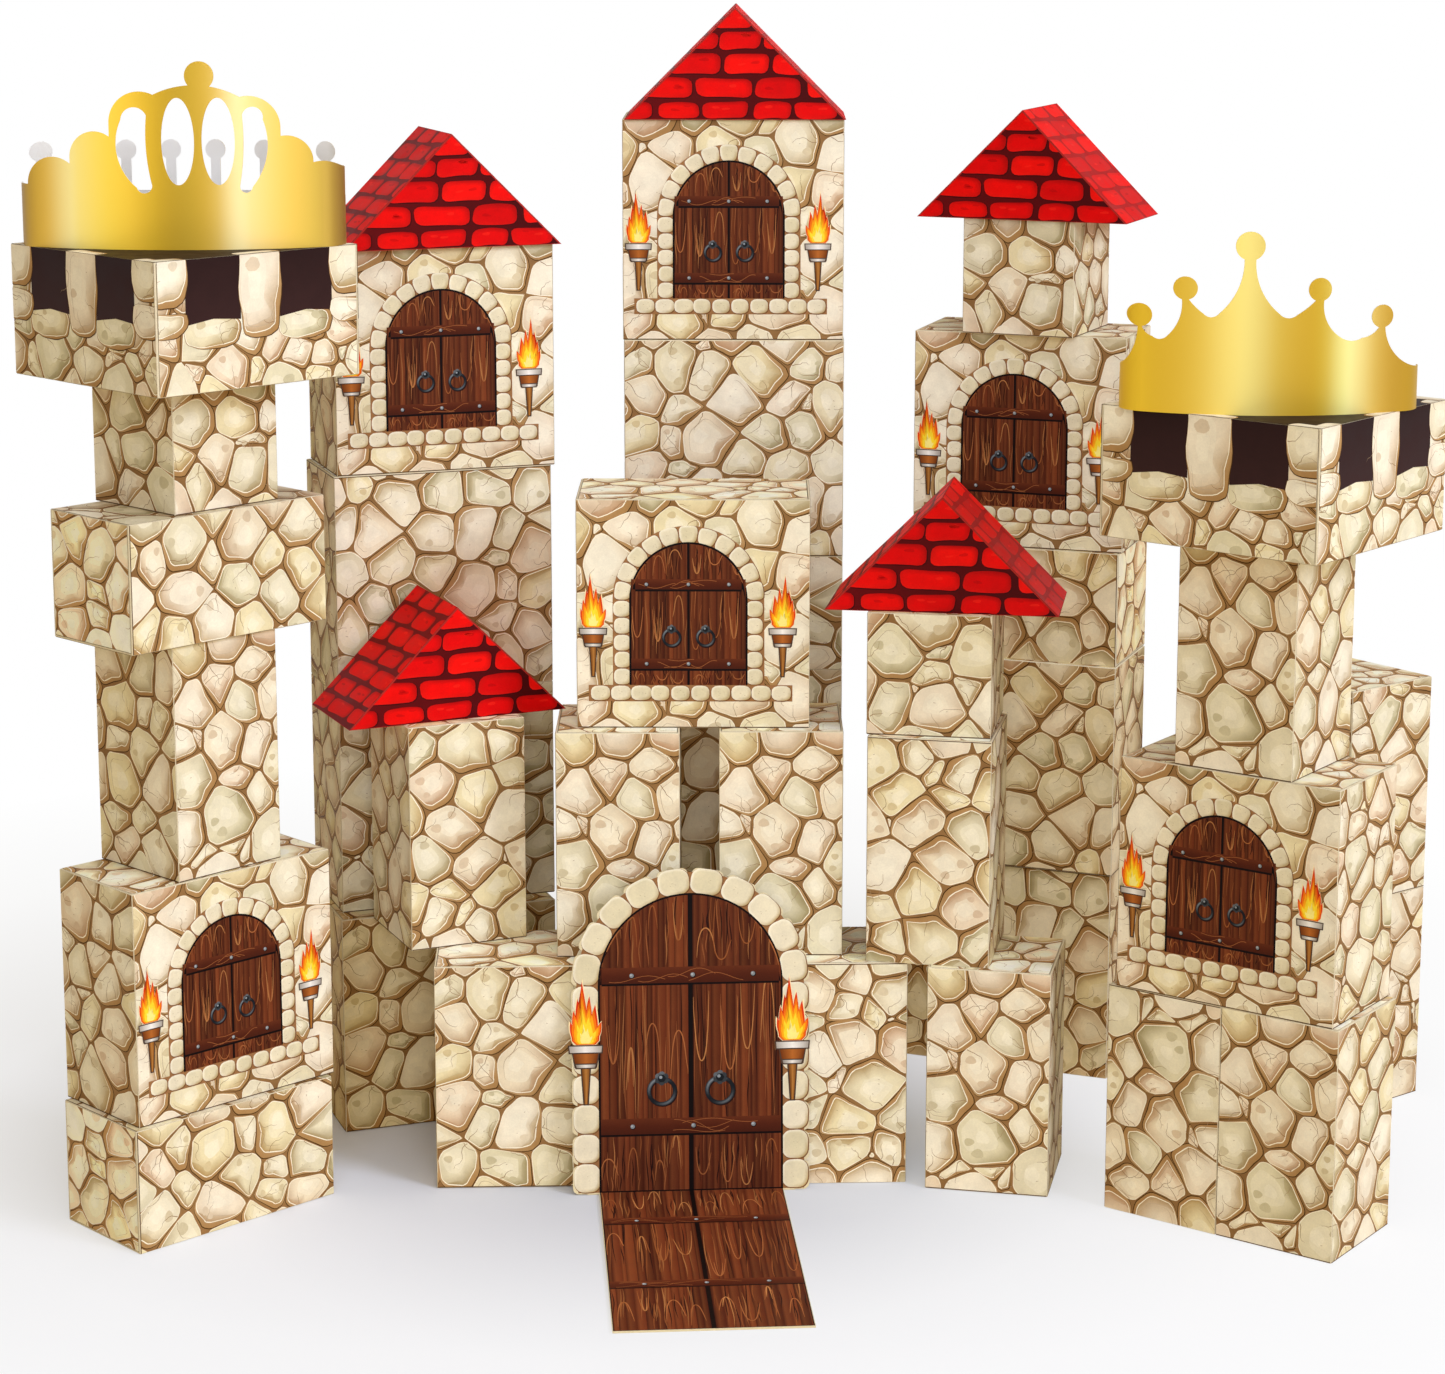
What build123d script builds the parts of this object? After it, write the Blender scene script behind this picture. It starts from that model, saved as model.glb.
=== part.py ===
from build123d import *
from math import atan2, cos, degrees, radians, sin
import os

os.makedirs("parts", exist_ok=True)

# Play castle stacked from folded cardboard cartons, in millimetres.
# The origin is on the floor, under the middle of the castle. +X is to the right and +Y to the back.

# Card and fold sizes
card = 1.2
fold = 0.5
seam = 0.5
tuck_depth = 14.0

# Block sizes: a long block is block_long x block_unit x block_long
block_long = 150.0
block_unit = 80.0
roof_height = 75.0
side_gap = 0.4

# Gate sheet, folded out of one card
sheet = 1.2
gate_half_width = 77.0
door_half_width = 58.5
arch_spring = 138.0
jamb_stones = 7
arch_stones = 10
stone_gap = 1.6
stone_round = 4.0
bridge_width = 120.0
bridge_length = 222.0
gate_turn = 2.0
gate_stand_off = 13.0
lean_clearance = 0.2

# Crowns, each a closed band of foil card
foil = 0.8
crown_depth = 74.0
crown_end_radius = 20.0
left_crown_width = 197.0
right_crown_width = 177.0
left_back_height = 30.0
right_back_height = 21.0
crown_trim = 5.0
left_crown_x = 2.6
left_crown_y = -3.6
right_crown_x = 22.0
right_crown_y = -45.5

# Where the groups stand on the floor: x, y and turn in degrees about the vertical
left_tower = (-359.6, -81.2, 45.0)
back_left_tower = (-223.6, 119.3, 19.7)
front_left_turret = (-209.1, 32.3, 23.5)
gatehouse = (-61.1, -9.7, 2.0)
keep = (-18.3, 192.3, -0.7)
back_right_tower = (191.4, 218.3, -21.3)
right_tower = (307.4, -102.7, -36.0)
far_right_stack = (384.4, 164.8, -52.0)

# The front right turret's foot stands beside the gatehouse, and its upper pieces across the two
turret_foot_gap = 13.6
turret_foot_set_forward = 19.35
turret_foot_turn = -12.0
turret_across = -39.6
turret_set_back = 16.0
turret_turn = -10.0

# Gap between the gatehouse's two lower blocks, and what stands on them
gatehouse_gap = 6.4
pillar_set_back = 18.0
pillar_left_x = -32.5
pillar_right_x = 73.0
gatehouse_window_x = 17.0
gatehouse_window_set_back = 30.0
gate_x = 12.5


def spot(group, dx=0.0, dy=0.0, z=0.0, turn=0.0):
    """A level plane at a place in a group: dx and dy follow the group's own turn."""
    x, y, group_turn = group
    along = radians(group_turn)
    origin = (x + dx * cos(along) - dy * sin(along), y + dx * sin(along) + dy * cos(along), z)
    heading = radians(group_turn + turn)
    return Plane(origin=origin, x_dir=(cos(heading), sin(heading), 0), z_dir=(0, 0, 1))


def lying(base, width, height):
    """The plane of a carton's left end, for a carton that lies along the x of its base plane."""
    start = base.origin - base.x_dir * (width / 2) + base.z_dir * (height / 2)
    return Plane(origin=start, x_dir=base.y_dir, z_dir=base.x_dir)


def on_its_back(base, depth, height):
    """The plane of a carton's front end, for a carton whose ends face front and back."""
    start = base.origin - base.y_dir * (depth / 2) + base.z_dir * (height / 2)
    return Plane(origin=start, x_dir=base.x_dir, z_dir=base.y_dir)


def folded_carton(name, end, width, depth, length):
    """A tuck-end carton: a sleeve of four panels with a hinged lid and a tucked flap at each end.

    The plane end is the outside of the first lid, and the sleeve runs from it along its z.
    """
    inner_width = width - 2 * card
    inner_depth = depth - 2 * card
    lid_edge = inner_depth / 2 - seam / 2
    with BuildPart() as carton:
        # Sleeve with its folds
        with BuildSketch(end):
            Rectangle(width, depth)
        extrude(amount=length)
        chamfer(carton.edges(), length=fold)
        with BuildSketch(end.offset(card)):
            Rectangle(inner_width, inner_depth)
        extrude(amount=length - 2 * card, mode=Mode.SUBTRACT)
        # Seams round three sides of each lid: the fourth side is its fold
        for lid in (end, end.offset(length - card)):
            with BuildSketch(lid):
                with Locations((0, -lid_edge)):
                    Rectangle(inner_width, seam)
                with Locations((inner_width / 2 - seam / 2, 0), (seam / 2 - inner_width / 2, 0)):
                    Rectangle(seam, inner_depth)
            extrude(amount=card, mode=Mode.SUBTRACT)
        # Tuck flaps, folded in behind the sleeve's front panel
        for flap in (end.offset(card / 2), end.offset(length - card / 2 - tuck_depth)):
            with BuildSketch(flap):
                with Locations((0, card / 2 + seam / 2 - lid_edge)):
                    Rectangle(inner_width - 4 * seam, card)
            extrude(amount=tuck_depth)
    carton.part.label = name
    export_step(carton.part, f"parts/{name}.step")
    return carton.part


def folded_roof(name, base):
    """A three-sided tube of card, closed by a triangular flap at each end."""
    back = base.origin + base.y_dir * (block_unit / 2)
    inner_back = base.origin + base.y_dir * (block_unit / 2 - card)
    slope = atan2(roof_height, block_long / 2)
    inner_height = roof_height - card - card / cos(slope)
    inner_half = inner_height / (roof_height / (block_long / 2))
    seam_drop = seam / cos(slope)
    seam_half = (inner_height - seam_drop) / (roof_height / (block_long / 2))
    with BuildPart() as roof:
        # Tube
        with BuildSketch(Plane(origin=back, x_dir=base.x_dir, z_dir=-base.y_dir)):
            with BuildLine():
                Polyline((-block_long / 2, 0), (block_long / 2, 0), (0, roof_height), close=True)
            make_face()
        extrude(amount=block_unit)
        with BuildSketch(Plane(origin=inner_back, x_dir=base.x_dir, z_dir=-base.y_dir)):
            with BuildLine():
                Polyline((-inner_half, card), (inner_half, card), (0, card + inner_height), close=True)
            make_face()
        extrude(amount=block_unit - 2 * card, mode=Mode.SUBTRACT)
        # Seams along the two slopes of each end flap: its foot is its fold
        for reach in (block_unit / 2, card - block_unit / 2):
            end = base.origin + base.y_dir * reach
            with BuildSketch(Plane(origin=end, x_dir=base.x_dir, z_dir=-base.y_dir)):
                with BuildLine():
                    Polyline((-inner_half, card), (0, card + inner_height), (inner_half, card))
                    Polyline((inner_half, card), (seam_half, card))
                    Polyline((seam_half, card), (0, card + inner_height - seam_drop), (-seam_half, card))
                    Polyline((-seam_half, card), (-inner_half, card))
                make_face()
            extrude(amount=card, mode=Mode.SUBTRACT)
    roof.part.label = name
    export_step(roof.part, f"parts/{name}.step")
    return roof.part


def stack_piece(name, kind, group, dx=0.0, dy=0.0, z=0.0, turn=0.0):
    """Builds one piece of a stack and returns the height of its top."""
    base = spot(group, dx, dy, z, turn)
    if kind == "long":
        folded_carton(name, base, block_long, block_unit, block_long)
        return z + block_long
    if kind == "standing":
        folded_carton(name, base, block_unit, block_unit, block_long)
        return z + block_long
    if kind == "cube":
        folded_carton(name, base, block_unit, block_unit, block_unit)
        return z + block_unit
    if kind == "lying":
        folded_carton(name, lying(base, block_long, block_unit), block_unit, block_unit, block_long)
        return z + block_unit
    if kind == "flat":
        folded_carton(name, on_its_back(base, block_long, block_unit), block_long, block_unit, block_long)
        return z + block_unit
    folded_roof(name, base)
    return z + roof_height


def stack(group, pieces, z=0.0):
    """Builds a stack from the bottom up: each piece rests on the one before it."""
    for name, kind, dx, dy, turn in pieces:
        z = stack_piece(name, kind, group, dx, dy, z, turn)
    return z


def crown_band(base, width, height):
    """A closed oval band of four arcs that stands on the plane base, a little taller than its crown."""
    end_middle = width / 2 - crown_end_radius
    spare = crown_depth / 2 - crown_end_radius
    side_middle = (end_middle**2 - spare**2) / (2 * spare)
    join = atan2(end_middle, side_middle)
    with BuildPart() as band:
        with BuildSketch(base):
            for inset, mode in ((0, Mode.ADD), (foil, Mode.SUBTRACT)):
                radius = crown_end_radius - inset
                across = end_middle + radius * sin(join)
                along = radius * cos(join)
                end = end_middle + radius
                side = crown_depth / 2 - inset
                with BuildLine():
                    ThreePointArc((-across, along), (0, side), (across, along))
                    ThreePointArc((across, along), (end, 0), (across, -along))
                    ThreePointArc((across, -along), (0, -side), (-across, -along))
                    ThreePointArc((-across, -along), (-end, 0), (-across, along))
                make_face(mode=mode)
        extrude(amount=height + crown_trim)
    return band.part


def front_of(base):
    """The upright plane through a crown's middle, seen from the front: x to the right and y up."""
    return Plane(origin=base.origin, x_dir=base.x_dir, z_dir=-base.y_dir)


# The front right turret's two places, worked out from the gatehouse's right end
foot_reach = block_unit / 2 * (cos(radians(turret_foot_turn)) - sin(radians(turret_foot_turn)))
gatehouse_end = spot(gatehouse, block_long + gatehouse_gap / 2)
right_turret_foot = (
    gatehouse_end.origin.X + turret_foot_gap + foot_reach,
    gatehouse_end.origin.Y - turret_foot_set_forward,
    turret_foot_turn,
)
front_right_turret = (
    right_turret_foot[0] + turret_across,
    right_turret_foot[1] + turret_set_back,
    turret_turn,
)

# Left tower
left_top = stack(left_tower, [
    ("left_tower_base_block", "lying", -5.0, -3.0, -1.7),
    ("left_tower_window_block", "long", 0.0, 1.0, -1.5),
    ("left_tower_standing_block", "standing", -1.0, 4.0, 1.0),
    ("left_tower_lying_block", "lying", 0.5, -2.0, 0.8),
    ("left_tower_cube", "cube", 3.0, 3.0, 1.3),
    ("left_tower_battlement", "flat", 2.0, -3.0, -0.8),
])

# Back left tower
stack(back_left_tower, [
    ("back_left_block_1", "long", -5.0, -7.0, 0.0),
    ("back_left_block_2", "long", 0.0, 10.0, 0.0),
    ("back_left_block_3", "long", 0.0, 10.0, 0.0),
    ("back_left_window_block", "long", 3.0, 10.5, -0.5),
    ("back_left_roof", "roof", 6.5, 3.0, 1.0),
])

# Gatehouse: two blocks side by side, two pillars on them and a window block across the pillars
lower_x = (block_long + gatehouse_gap) / 2
lower_top = stack_piece("gatehouse_block_left", "long", gatehouse, -lower_x)
stack_piece("gatehouse_block_right", "long", gatehouse, lower_x)
pillar_top = stack_piece(
    "gatehouse_pillar_left", "standing", gatehouse, pillar_left_x, pillar_set_back, lower_top, -2.0)
stack_piece("gatehouse_pillar_right", "standing", gatehouse, pillar_right_x, pillar_set_back, lower_top, -2.0)
stack_piece(
    "gatehouse_window_block", "long", gatehouse, gatehouse_window_x, gatehouse_window_set_back, pillar_top, -2.5)

# Keep, behind the gatehouse
stack(keep, [
    ("keep_block_1", "long", 0.0, 0.0, 0.0),
    ("keep_block_2", "long", 0.0, 0.0, 0.0),
    ("keep_lying_block", "lying", 0.0, 0.0, 0.0),
    ("keep_block_3", "long", 0.0, 0.0, 0.0),
    ("keep_window_block", "long", -0.6, 1.6, 0.0),
    ("keep_roof", "roof", 0.6, -1.6, 0.0),
])

# Front left turret, on the gatehouse's left block and the back left tower's lowest block
stack(front_left_turret, [
    ("front_left_standing_block", "standing", 0.0, 0.0, 0.0),
    ("front_left_roof", "roof", -2.0, 10.0, 0.5),
], z=lower_top)

# Front right turret: its second block stands across the foot block and the gatehouse's right block
foot_top = stack_piece("front_right_foot_block", "standing", right_turret_foot)
stack(front_right_turret, [
    ("front_right_standing_block", "standing", 0.5, -2.5, -1.6),
    ("front_right_cube", "cube", -2.0, 4.0, 0.0),
    ("front_right_roof", "roof", 4.0, 9.0, 1.0),
], z=foot_top)

# Back right tower
stack(back_right_tower, [
    ("back_right_block_1", "long", -1.0, 2.0, 0.0),
    ("back_right_block_2", "long", 0.0, 0.0, 0.0),
    ("back_right_lying_block", "lying", -1.0, 4.0, 0.0),
    ("back_right_window_block", "long", -1.0, 4.0, 2.8),
    ("back_right_cube", "cube", 2.5, -3.0, -2.2),
    ("back_right_roof", "roof", 4.0, -7.0, -1.0),
])

# Right tower: two blocks stand side by side under the window block
pair_x = (block_unit + side_gap) / 2
pair_top = stack_piece("right_tower_base_block_left", "standing", right_tower, -pair_x)
stack_piece("right_tower_base_block_right", "standing", right_tower, pair_x)
right_top = stack(right_tower, [
    ("right_tower_window_block", "long", 0.0, 0.0, 0.7),
    ("right_tower_standing_block", "standing", 2.0, 1.0, 0.7),
    ("right_tower_battlement", "flat", 17.0, -25.0, -3.7),
], z=pair_top)

# Far right stack
stack(far_right_stack, [
    ("far_right_block_1", "long", 0.0, 0.0, 0.0),
    ("far_right_block_2", "long", 0.0, 0.0, 0.0),
])

# Gate and drawbridge, one sheet: the gate leans on the lower blocks' top edge, the bridge lies on the floor
gate_run = gate_stand_off - gate_half_width * sin(radians(gate_turn)) - sheet - lean_clearance
gate_lean = atan2(gate_run, block_long)
fold_line = spot(gatehouse, gate_x, -block_unit / 2 - gate_stand_off, turn=gate_turn)
gate_face = Plane(
    origin=fold_line.origin + fold_line.z_dir * (sheet * sin(gate_lean)),
    x_dir=fold_line.x_dir,
    z_dir=-fold_line.y_dir * cos(gate_lean) + fold_line.z_dir * sin(gate_lean),
)
surround = gate_half_width - door_half_width
surround_middle = (gate_half_width + door_half_width) / 2
jamb_step = arch_spring / jamb_stones
arch_step = 180 / arch_stones
voussoir = surround_middle * radians(arch_step)
with BuildPart() as gate_and_drawbridge:
    with BuildSketch(gate_face):
        # Door field, and the stones of its surround, whose rounded corners make the cut outline
        with Locations((0, arch_spring / 2)):
            Rectangle(2 * surround_middle, arch_spring)
        with Locations((0, arch_spring)):
            Circle(surround_middle)
        for side in (-1, 1):
            for count in range(jamb_stones):
                with Locations((side * surround_middle, (count + 0.5) * jamb_step)):
                    RectangleRounded(surround, jamb_step - stone_gap / 2, stone_round)
        for count in range(arch_stones):
            angle = (count + 0.5) * arch_step
            middle = (
                surround_middle * cos(radians(angle)),
                arch_spring + surround_middle * sin(radians(angle)),
            )
            with Locations(Location(middle, angle)):
                RectangleRounded(surround, voussoir - stone_gap / 2, stone_round)
        # The sheet ends at the fold
        with Locations((0, -gate_half_width)):
            Rectangle(4 * gate_half_width, 2 * gate_half_width, mode=Mode.SUBTRACT)
    extrude(amount=-sheet)
    # Drawbridge
    with BuildSketch(fold_line):
        with Locations((0, sheet - bridge_length / 2)):
            Rectangle(bridge_width, bridge_length)
    extrude(amount=sheet)
gate_and_drawbridge.part.label = "gate_and_drawbridge"
export_step(gate_and_drawbridge.part, "parts/gate_and_drawbridge.step")

# Left crown: scalloped lobes, a fan of ribs between four cut-outs, and a ball on top.
# Its outline is drawn as seen from the front. Each place in it is a share of the crown's half width,
# counted from the crown's middle rib, and a height above the rim in millimetres.
left_crown_base = spot(left_tower, left_crown_x, left_crown_y, left_top, -left_tower[2])
left_crown_axis = 0.166
left_crown_halves = ((-1, 1.06, 0.0), (1, 0.815, 2.8))
left_band_height = 38.0
end_lobe = (0.875, 38.0, 17.0)
side_lobe = (0.619, 55.0, 15.8)
arch_lobe = (0.347, 75.8, 19.0)
fan_top = 98.4
fan_edge = (0.300, 91.0)
left_ball_height = 104.0
left_ball_radius = 8.7
petal_across = 0.130
petal_up = 65.0
petal_size = (9.8, 26.0)
crescent_inner_top = (0.308, 80.5)
crescent_top = (0.368, 85.3)
crescent_shoulder = (0.458, 77.8)
crescent_side = (0.490, 62.0)
crescent_heel = (0.373, 37.4)
crescent_foot = (0.318, 34.2)
crescent_inner_foot = (0.283, 38.5)
crescent_inner = (0.315, 64.0)
back_points = (-65, -41, -24, -7.5, 8.6, 27.5, 42, 59.5)
back_point_height = 55.0
back_ball_radius = 6.2
back_stem_width = 6.0


def crown_across(width, axis, side, stretch, across, squeeze=0.0):
    """A crown is turned a little, so one half of its outline is seen wider than the other."""
    return (axis + side * across * (stretch - squeeze * across)) * width / 2


with BuildPart() as left_crown_outline:
    with BuildSketch(front_of(left_crown_base)):
        with Locations((0, left_band_height / 2)):
            Rectangle(left_crown_width + 2 * foil, left_band_height)
        fan = [
            (crown_across(left_crown_width, left_crown_axis, side, stretch, fan_edge[0]), fan_edge[1])
            for side, stretch, drop in left_crown_halves
        ]
        with BuildLine():
            ThreePointArc(fan[0], (left_crown_axis * left_crown_width / 2, fan_top), fan[1])
            Polyline(fan[1], (fan[1][0], 0.0), (fan[0][0], 0.0), fan[0])
        make_face()
        with Locations((left_crown_axis * left_crown_width / 2, left_ball_height)):
            Circle(left_ball_radius)
        for side, stretch, drop in left_crown_halves:
            for across, up, radius in (end_lobe, side_lobe, arch_lobe):
                middle = crown_across(left_crown_width, left_crown_axis, side, stretch, across)
                with Locations((middle, up - drop)):
                    Circle(radius)
                with Locations((middle, (up - drop) / 2)):
                    Rectangle(2 * radius, up - drop)
        # Cut-outs
        for side, stretch, drop in left_crown_halves:
            with Locations((crown_across(left_crown_width, left_crown_axis, side, stretch, petal_across), petal_up)):
                Ellipse(*petal_size, mode=Mode.SUBTRACT)
            crescent = [
                (crown_across(left_crown_width, left_crown_axis, side, stretch, across), up)
                for across, up in (
                    crescent_inner_top, crescent_top, crescent_shoulder, crescent_side,
                    crescent_heel, crescent_foot, crescent_inner_foot, crescent_inner,
                )
            ]
            with BuildLine():
                ThreePointArc(crescent[0], crescent[1], crescent[2])
                ThreePointArc(crescent[2], crescent[3], crescent[4])
                ThreePointArc(crescent[4], crescent[5], crescent[6])
                ThreePointArc(crescent[6], crescent[7], crescent[0])
            make_face(mode=Mode.SUBTRACT)
    extrude(amount=crown_depth / 2 + foil)
    # Back half: a low band with ball-tipped points
    with BuildSketch(front_of(left_crown_base)):
        with Locations((0, left_back_height / 2)):
            Rectangle(left_crown_width + 2 * foil, left_back_height)
        for angle in back_points:
            across = left_crown_width / 2 * sin(radians(angle))
            with Locations((across, back_point_height / 2)):
                Rectangle(back_stem_width, back_point_height)
            with Locations((across, back_point_height)):
                Circle(back_ball_radius)
    extrude(amount=-crown_depth / 2 - foil)

with BuildPart() as left_crown:
    add(crown_band(left_crown_base, left_crown_width, left_ball_height + left_ball_radius))
    add(left_crown_outline.part, mode=Mode.INTERSECT)
left_crown.part.label = "left_crown"
export_step(left_crown.part, "parts/left_crown.step")

# Right crown: five points with balls, swept up from curved valleys
right_crown_base = spot(right_tower, right_crown_x, right_crown_y, right_top, -right_tower[2])
right_crown_axis = -0.202
right_crown_halves = ((-1, 1.056, 0.286), (1, 1.06, 0.0))
right_rim_height = 25.5
centre_ball = (0.0, 99.6, 8.5)
middle_ball = (0.441, 74.2, 6.9)
outer_ball = (0.854, 57.4, 6.8)
centre_neck = (0.036, 92.0)
middle_neck = (0.027, 67.8)
outer_neck = (0.021, 51.0)
inner_valley = (0.245, 57.6)
inner_valley_sides = ((0.190, 60.0), (0.302, 59.6))
inner_valley_rise = ((0.076, 73.5), (0.356, 63.0))
outer_valley = (0.655, 43.6)
outer_valley_sides = ((0.585, 45.6), (0.722, 45.2))
outer_valley_rise = ((0.500, 53.6), (0.793, 47.4))
shoulder = (0.935, 36.0)

with BuildPart() as right_crown_outline:
    with BuildSketch(front_of(right_crown_base)):
        with BuildLine():
            for side, stretch, squeeze in right_crown_halves:
                rim_end = side * (right_crown_width / 2 + foil)
                across_and_up = (
                    (0.0, 0.0),
                    shoulder,
                    (outer_ball[0] + outer_neck[0], outer_neck[1]),
                    (outer_ball[0] - outer_neck[0], outer_neck[1]),
                    outer_valley_rise[1],
                    outer_valley_sides[1],
                    outer_valley,
                    outer_valley_sides[0],
                    outer_valley_rise[0],
                    (middle_ball[0] + middle_neck[0], middle_neck[1]),
                    (middle_ball[0] - middle_neck[0], middle_neck[1]),
                    inner_valley_rise[1],
                    inner_valley_sides[1],
                    inner_valley,
                    inner_valley_sides[0],
                    inner_valley_rise[0],
                    centre_neck,
                    (0.0, centre_neck[1]),
                )
                spots = [
                    (crown_across(right_crown_width, right_crown_axis, side, stretch, across, squeeze), up)
                    for across, up in across_and_up
                ]
                Polyline(spots[0], (rim_end, 0.0), (rim_end, right_rim_height))
                ThreePointArc((rim_end, right_rim_height), spots[1], spots[2])
                Line(spots[2], spots[3])
                ThreePointArc(spots[3], spots[4], spots[5])
                ThreePointArc(spots[5], spots[6], spots[7])
                ThreePointArc(spots[7], spots[8], spots[9])
                Line(spots[9], spots[10])
                ThreePointArc(spots[10], spots[11], spots[12])
                ThreePointArc(spots[12], spots[13], spots[14])
                ThreePointArc(spots[14], spots[15], spots[16])
                Line(spots[16], spots[17])
        make_face()
        for side, stretch, squeeze in right_crown_halves:
            for across, up, radius in (centre_ball, middle_ball, outer_ball):
                middle = crown_across(right_crown_width, right_crown_axis, side, stretch, across, squeeze)
                with Locations((middle, up)):
                    Circle(radius)
    extrude(amount=crown_depth / 2 + foil)
    # Back half: a plain low band
    with BuildSketch(front_of(right_crown_base)):
        with Locations((0, right_back_height / 2)):
            Rectangle(right_crown_width + 2 * foil, right_back_height)
    extrude(amount=-crown_depth / 2 - foil)

with BuildPart() as right_crown:
    add(crown_band(right_crown_base, right_crown_width, centre_ball[1] + centre_ball[2]))
    add(right_crown_outline.part, mode=Mode.INTERSECT)
right_crown.part.label = "right_crown"
export_step(right_crown.part, "parts/right_crown.step")
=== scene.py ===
import math
import random

import bpy
import numpy as np
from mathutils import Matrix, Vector


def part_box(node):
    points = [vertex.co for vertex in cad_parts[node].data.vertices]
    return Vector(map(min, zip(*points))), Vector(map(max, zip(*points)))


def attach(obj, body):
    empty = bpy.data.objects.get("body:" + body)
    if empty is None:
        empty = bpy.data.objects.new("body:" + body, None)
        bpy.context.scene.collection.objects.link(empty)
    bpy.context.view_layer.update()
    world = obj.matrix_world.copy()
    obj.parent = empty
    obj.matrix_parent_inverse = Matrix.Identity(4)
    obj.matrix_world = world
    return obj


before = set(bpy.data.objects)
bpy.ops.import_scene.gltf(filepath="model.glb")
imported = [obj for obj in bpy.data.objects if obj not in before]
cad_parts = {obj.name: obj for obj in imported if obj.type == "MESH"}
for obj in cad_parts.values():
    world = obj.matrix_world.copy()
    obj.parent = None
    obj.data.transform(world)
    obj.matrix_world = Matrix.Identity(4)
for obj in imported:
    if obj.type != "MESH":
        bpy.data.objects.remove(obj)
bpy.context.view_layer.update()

# Lengths are in millimetres on the card, but in metres where a piece is placed, a light stands or MM is used
MM = 0.001
LONG, UNIT, ROOF = 150.0, 80.0, 75.0
GATE_CARD = 1.2      # the gate sheet's thickness
FOLD_EDGE = 0.4      # unprinted card along a fold
LID_EDGE = 1.7       # unprinted card where a lid meets the sleeve
INKED_FOLD = 0.06    # the same along a battlement's upper folds, which dark ink runs over
LID_PAINTED_LIGHT = 1.25      # painted light: how much lighter the lids' ink is than the sleeves', as on faces the lamps reach from above
BRIDGE_PAINTED_LIGHT = 1.3    # painted light: how much lighter the drawbridge's ink is than the doors', as it lies flat under the lamps

# How far off the card each kind of shape is printed, so that a shape which overlaps another lies above it
LAYER = {
    "mortar": 0.05, "outline": 0.08, "side": 0.09, "rim": 0.10, "body": 0.115, "patch": 0.135, "crack": 0.16,
    "foot shade": 0.175, "surround": 0.195, "surround stones": 0.205, "window door": 0.26,
    "sill ground": 0.27, "sill": 0.28, "window torch": 0.3, "gap stone": 0.12, "merlon": 0.3, "gap": 0.33,
    "folded stone": 0.11, "gate stones": 0.07, "gate door": 0.12, "gate torch": 0.16, "threshold": 0.2,
    "planks": 0.07, "battens": 0.1}


# Colours and outlines

def ink(code):
    """Linear colour of a hexadecimal screen colour."""
    parts = [int(code[i:i + 2], 16) / 255 for i in (1, 3, 5)]
    return tuple(p / 12.92 if p <= 0.04045 else ((p + 0.055) / 1.055) ** 2.4 for p in parts)


def inks(codes):
    return [ink("#" + code) for code in codes.split()]


def mix(a, b, t):
    """A colour or a point, part of the way from one to another."""
    return tuple(x + (y - x) * t for x, y in zip(a, b))


def polar(cx, cy, radius, angle):
    return cx + radius * math.cos(angle), cy + radius * math.sin(angle)


def circle(cx, cy, radius, sides):
    return [polar(cx, cy, radius, 2 * math.pi * k / sides) for k in range(sides)]


def half_circle(cx, cy, radius, steps=30):
    return [polar(cx, cy, radius, math.pi * k / steps) for k in range(steps + 1)]


def rectangle(x0, y0, x1, y1):
    return [(x0, y0), (x1, y0), (x1, y1), (x0, y1)]


def rectangle_planes(x0, y0, x1, y1):
    return [(-1, 0, -x0), (1, 0, x1), (0, -1, -y0), (0, 1, y1)]


def within_folds(width, height):
    return FOLD_EDGE, FOLD_EDGE, width - FOLD_EDGE, height - FOLD_EDGE


def clip(points, colours, planes):
    """Cuts a polygon by half planes (nx, ny, c), which keep nx x + ny y <= c."""
    for nx, ny, c in planes:
        corners = [(p, tone, nx * p[0] + ny * p[1] - c) for p, tone in zip(points, colours)]
        kept = []
        for (p, p_tone, p_out), (q, q_tone, q_out) in zip(corners, corners[1:] + corners[:1]):
            if p_out <= 0:
                kept.append((p, p_tone))
            if p_out < 0 < q_out or q_out < 0 < p_out:
                t = p_out / (p_out - q_out)
                kept.append((mix(p, q, t), mix(p_tone, q_tone, t)))
        if len(kept) < 3:
            return [], []
        points, colours = map(list, zip(*kept))
    return points, colours


def rounded(points, times=2, cut=0.25, closed=True):
    """Corner cutting, which turns a rough outline into a soft one. An open line keeps its two ends."""
    for _ in range(times):
        after = points[1:] + points[:1] if closed else points[1:]
        soft = [part for p, q in zip(points, after) for part in (mix(p, q, cut), mix(q, p, cut))]
        points = soft if closed else [points[0], *soft, points[-1]]
    return points


def thinned(points, slack=0.15):
    """The outline without the points that stand off their neighbours' chord by less than a length."""
    points = list(points)
    while len(points) > 8:
        off = []
        for k, (x, y) in enumerate(points):
            (x0, y0), (x1, y1) = points[k - 1], points[(k + 1) % len(points)]
            length = math.hypot(x1 - x0, y1 - y0) or 1.0
            off.append(abs((x1 - x0) * (y - y0) - (y1 - y0) * (x - x0)) / length)
        least = min(off)
        if least > slack:
            break
        points.pop(off.index(least))
    return points


def middle(points):
    return sum(p[0] for p in points) / len(points), sum(p[1] for p in points) / len(points)


def scaled(points, factor, dx=0.0, dy=0.0):
    cx, cy = middle(points)
    return [(cx + (x - cx) * factor + dx, cy + (y - cy) * factor + dy) for x, y in points]


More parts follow.
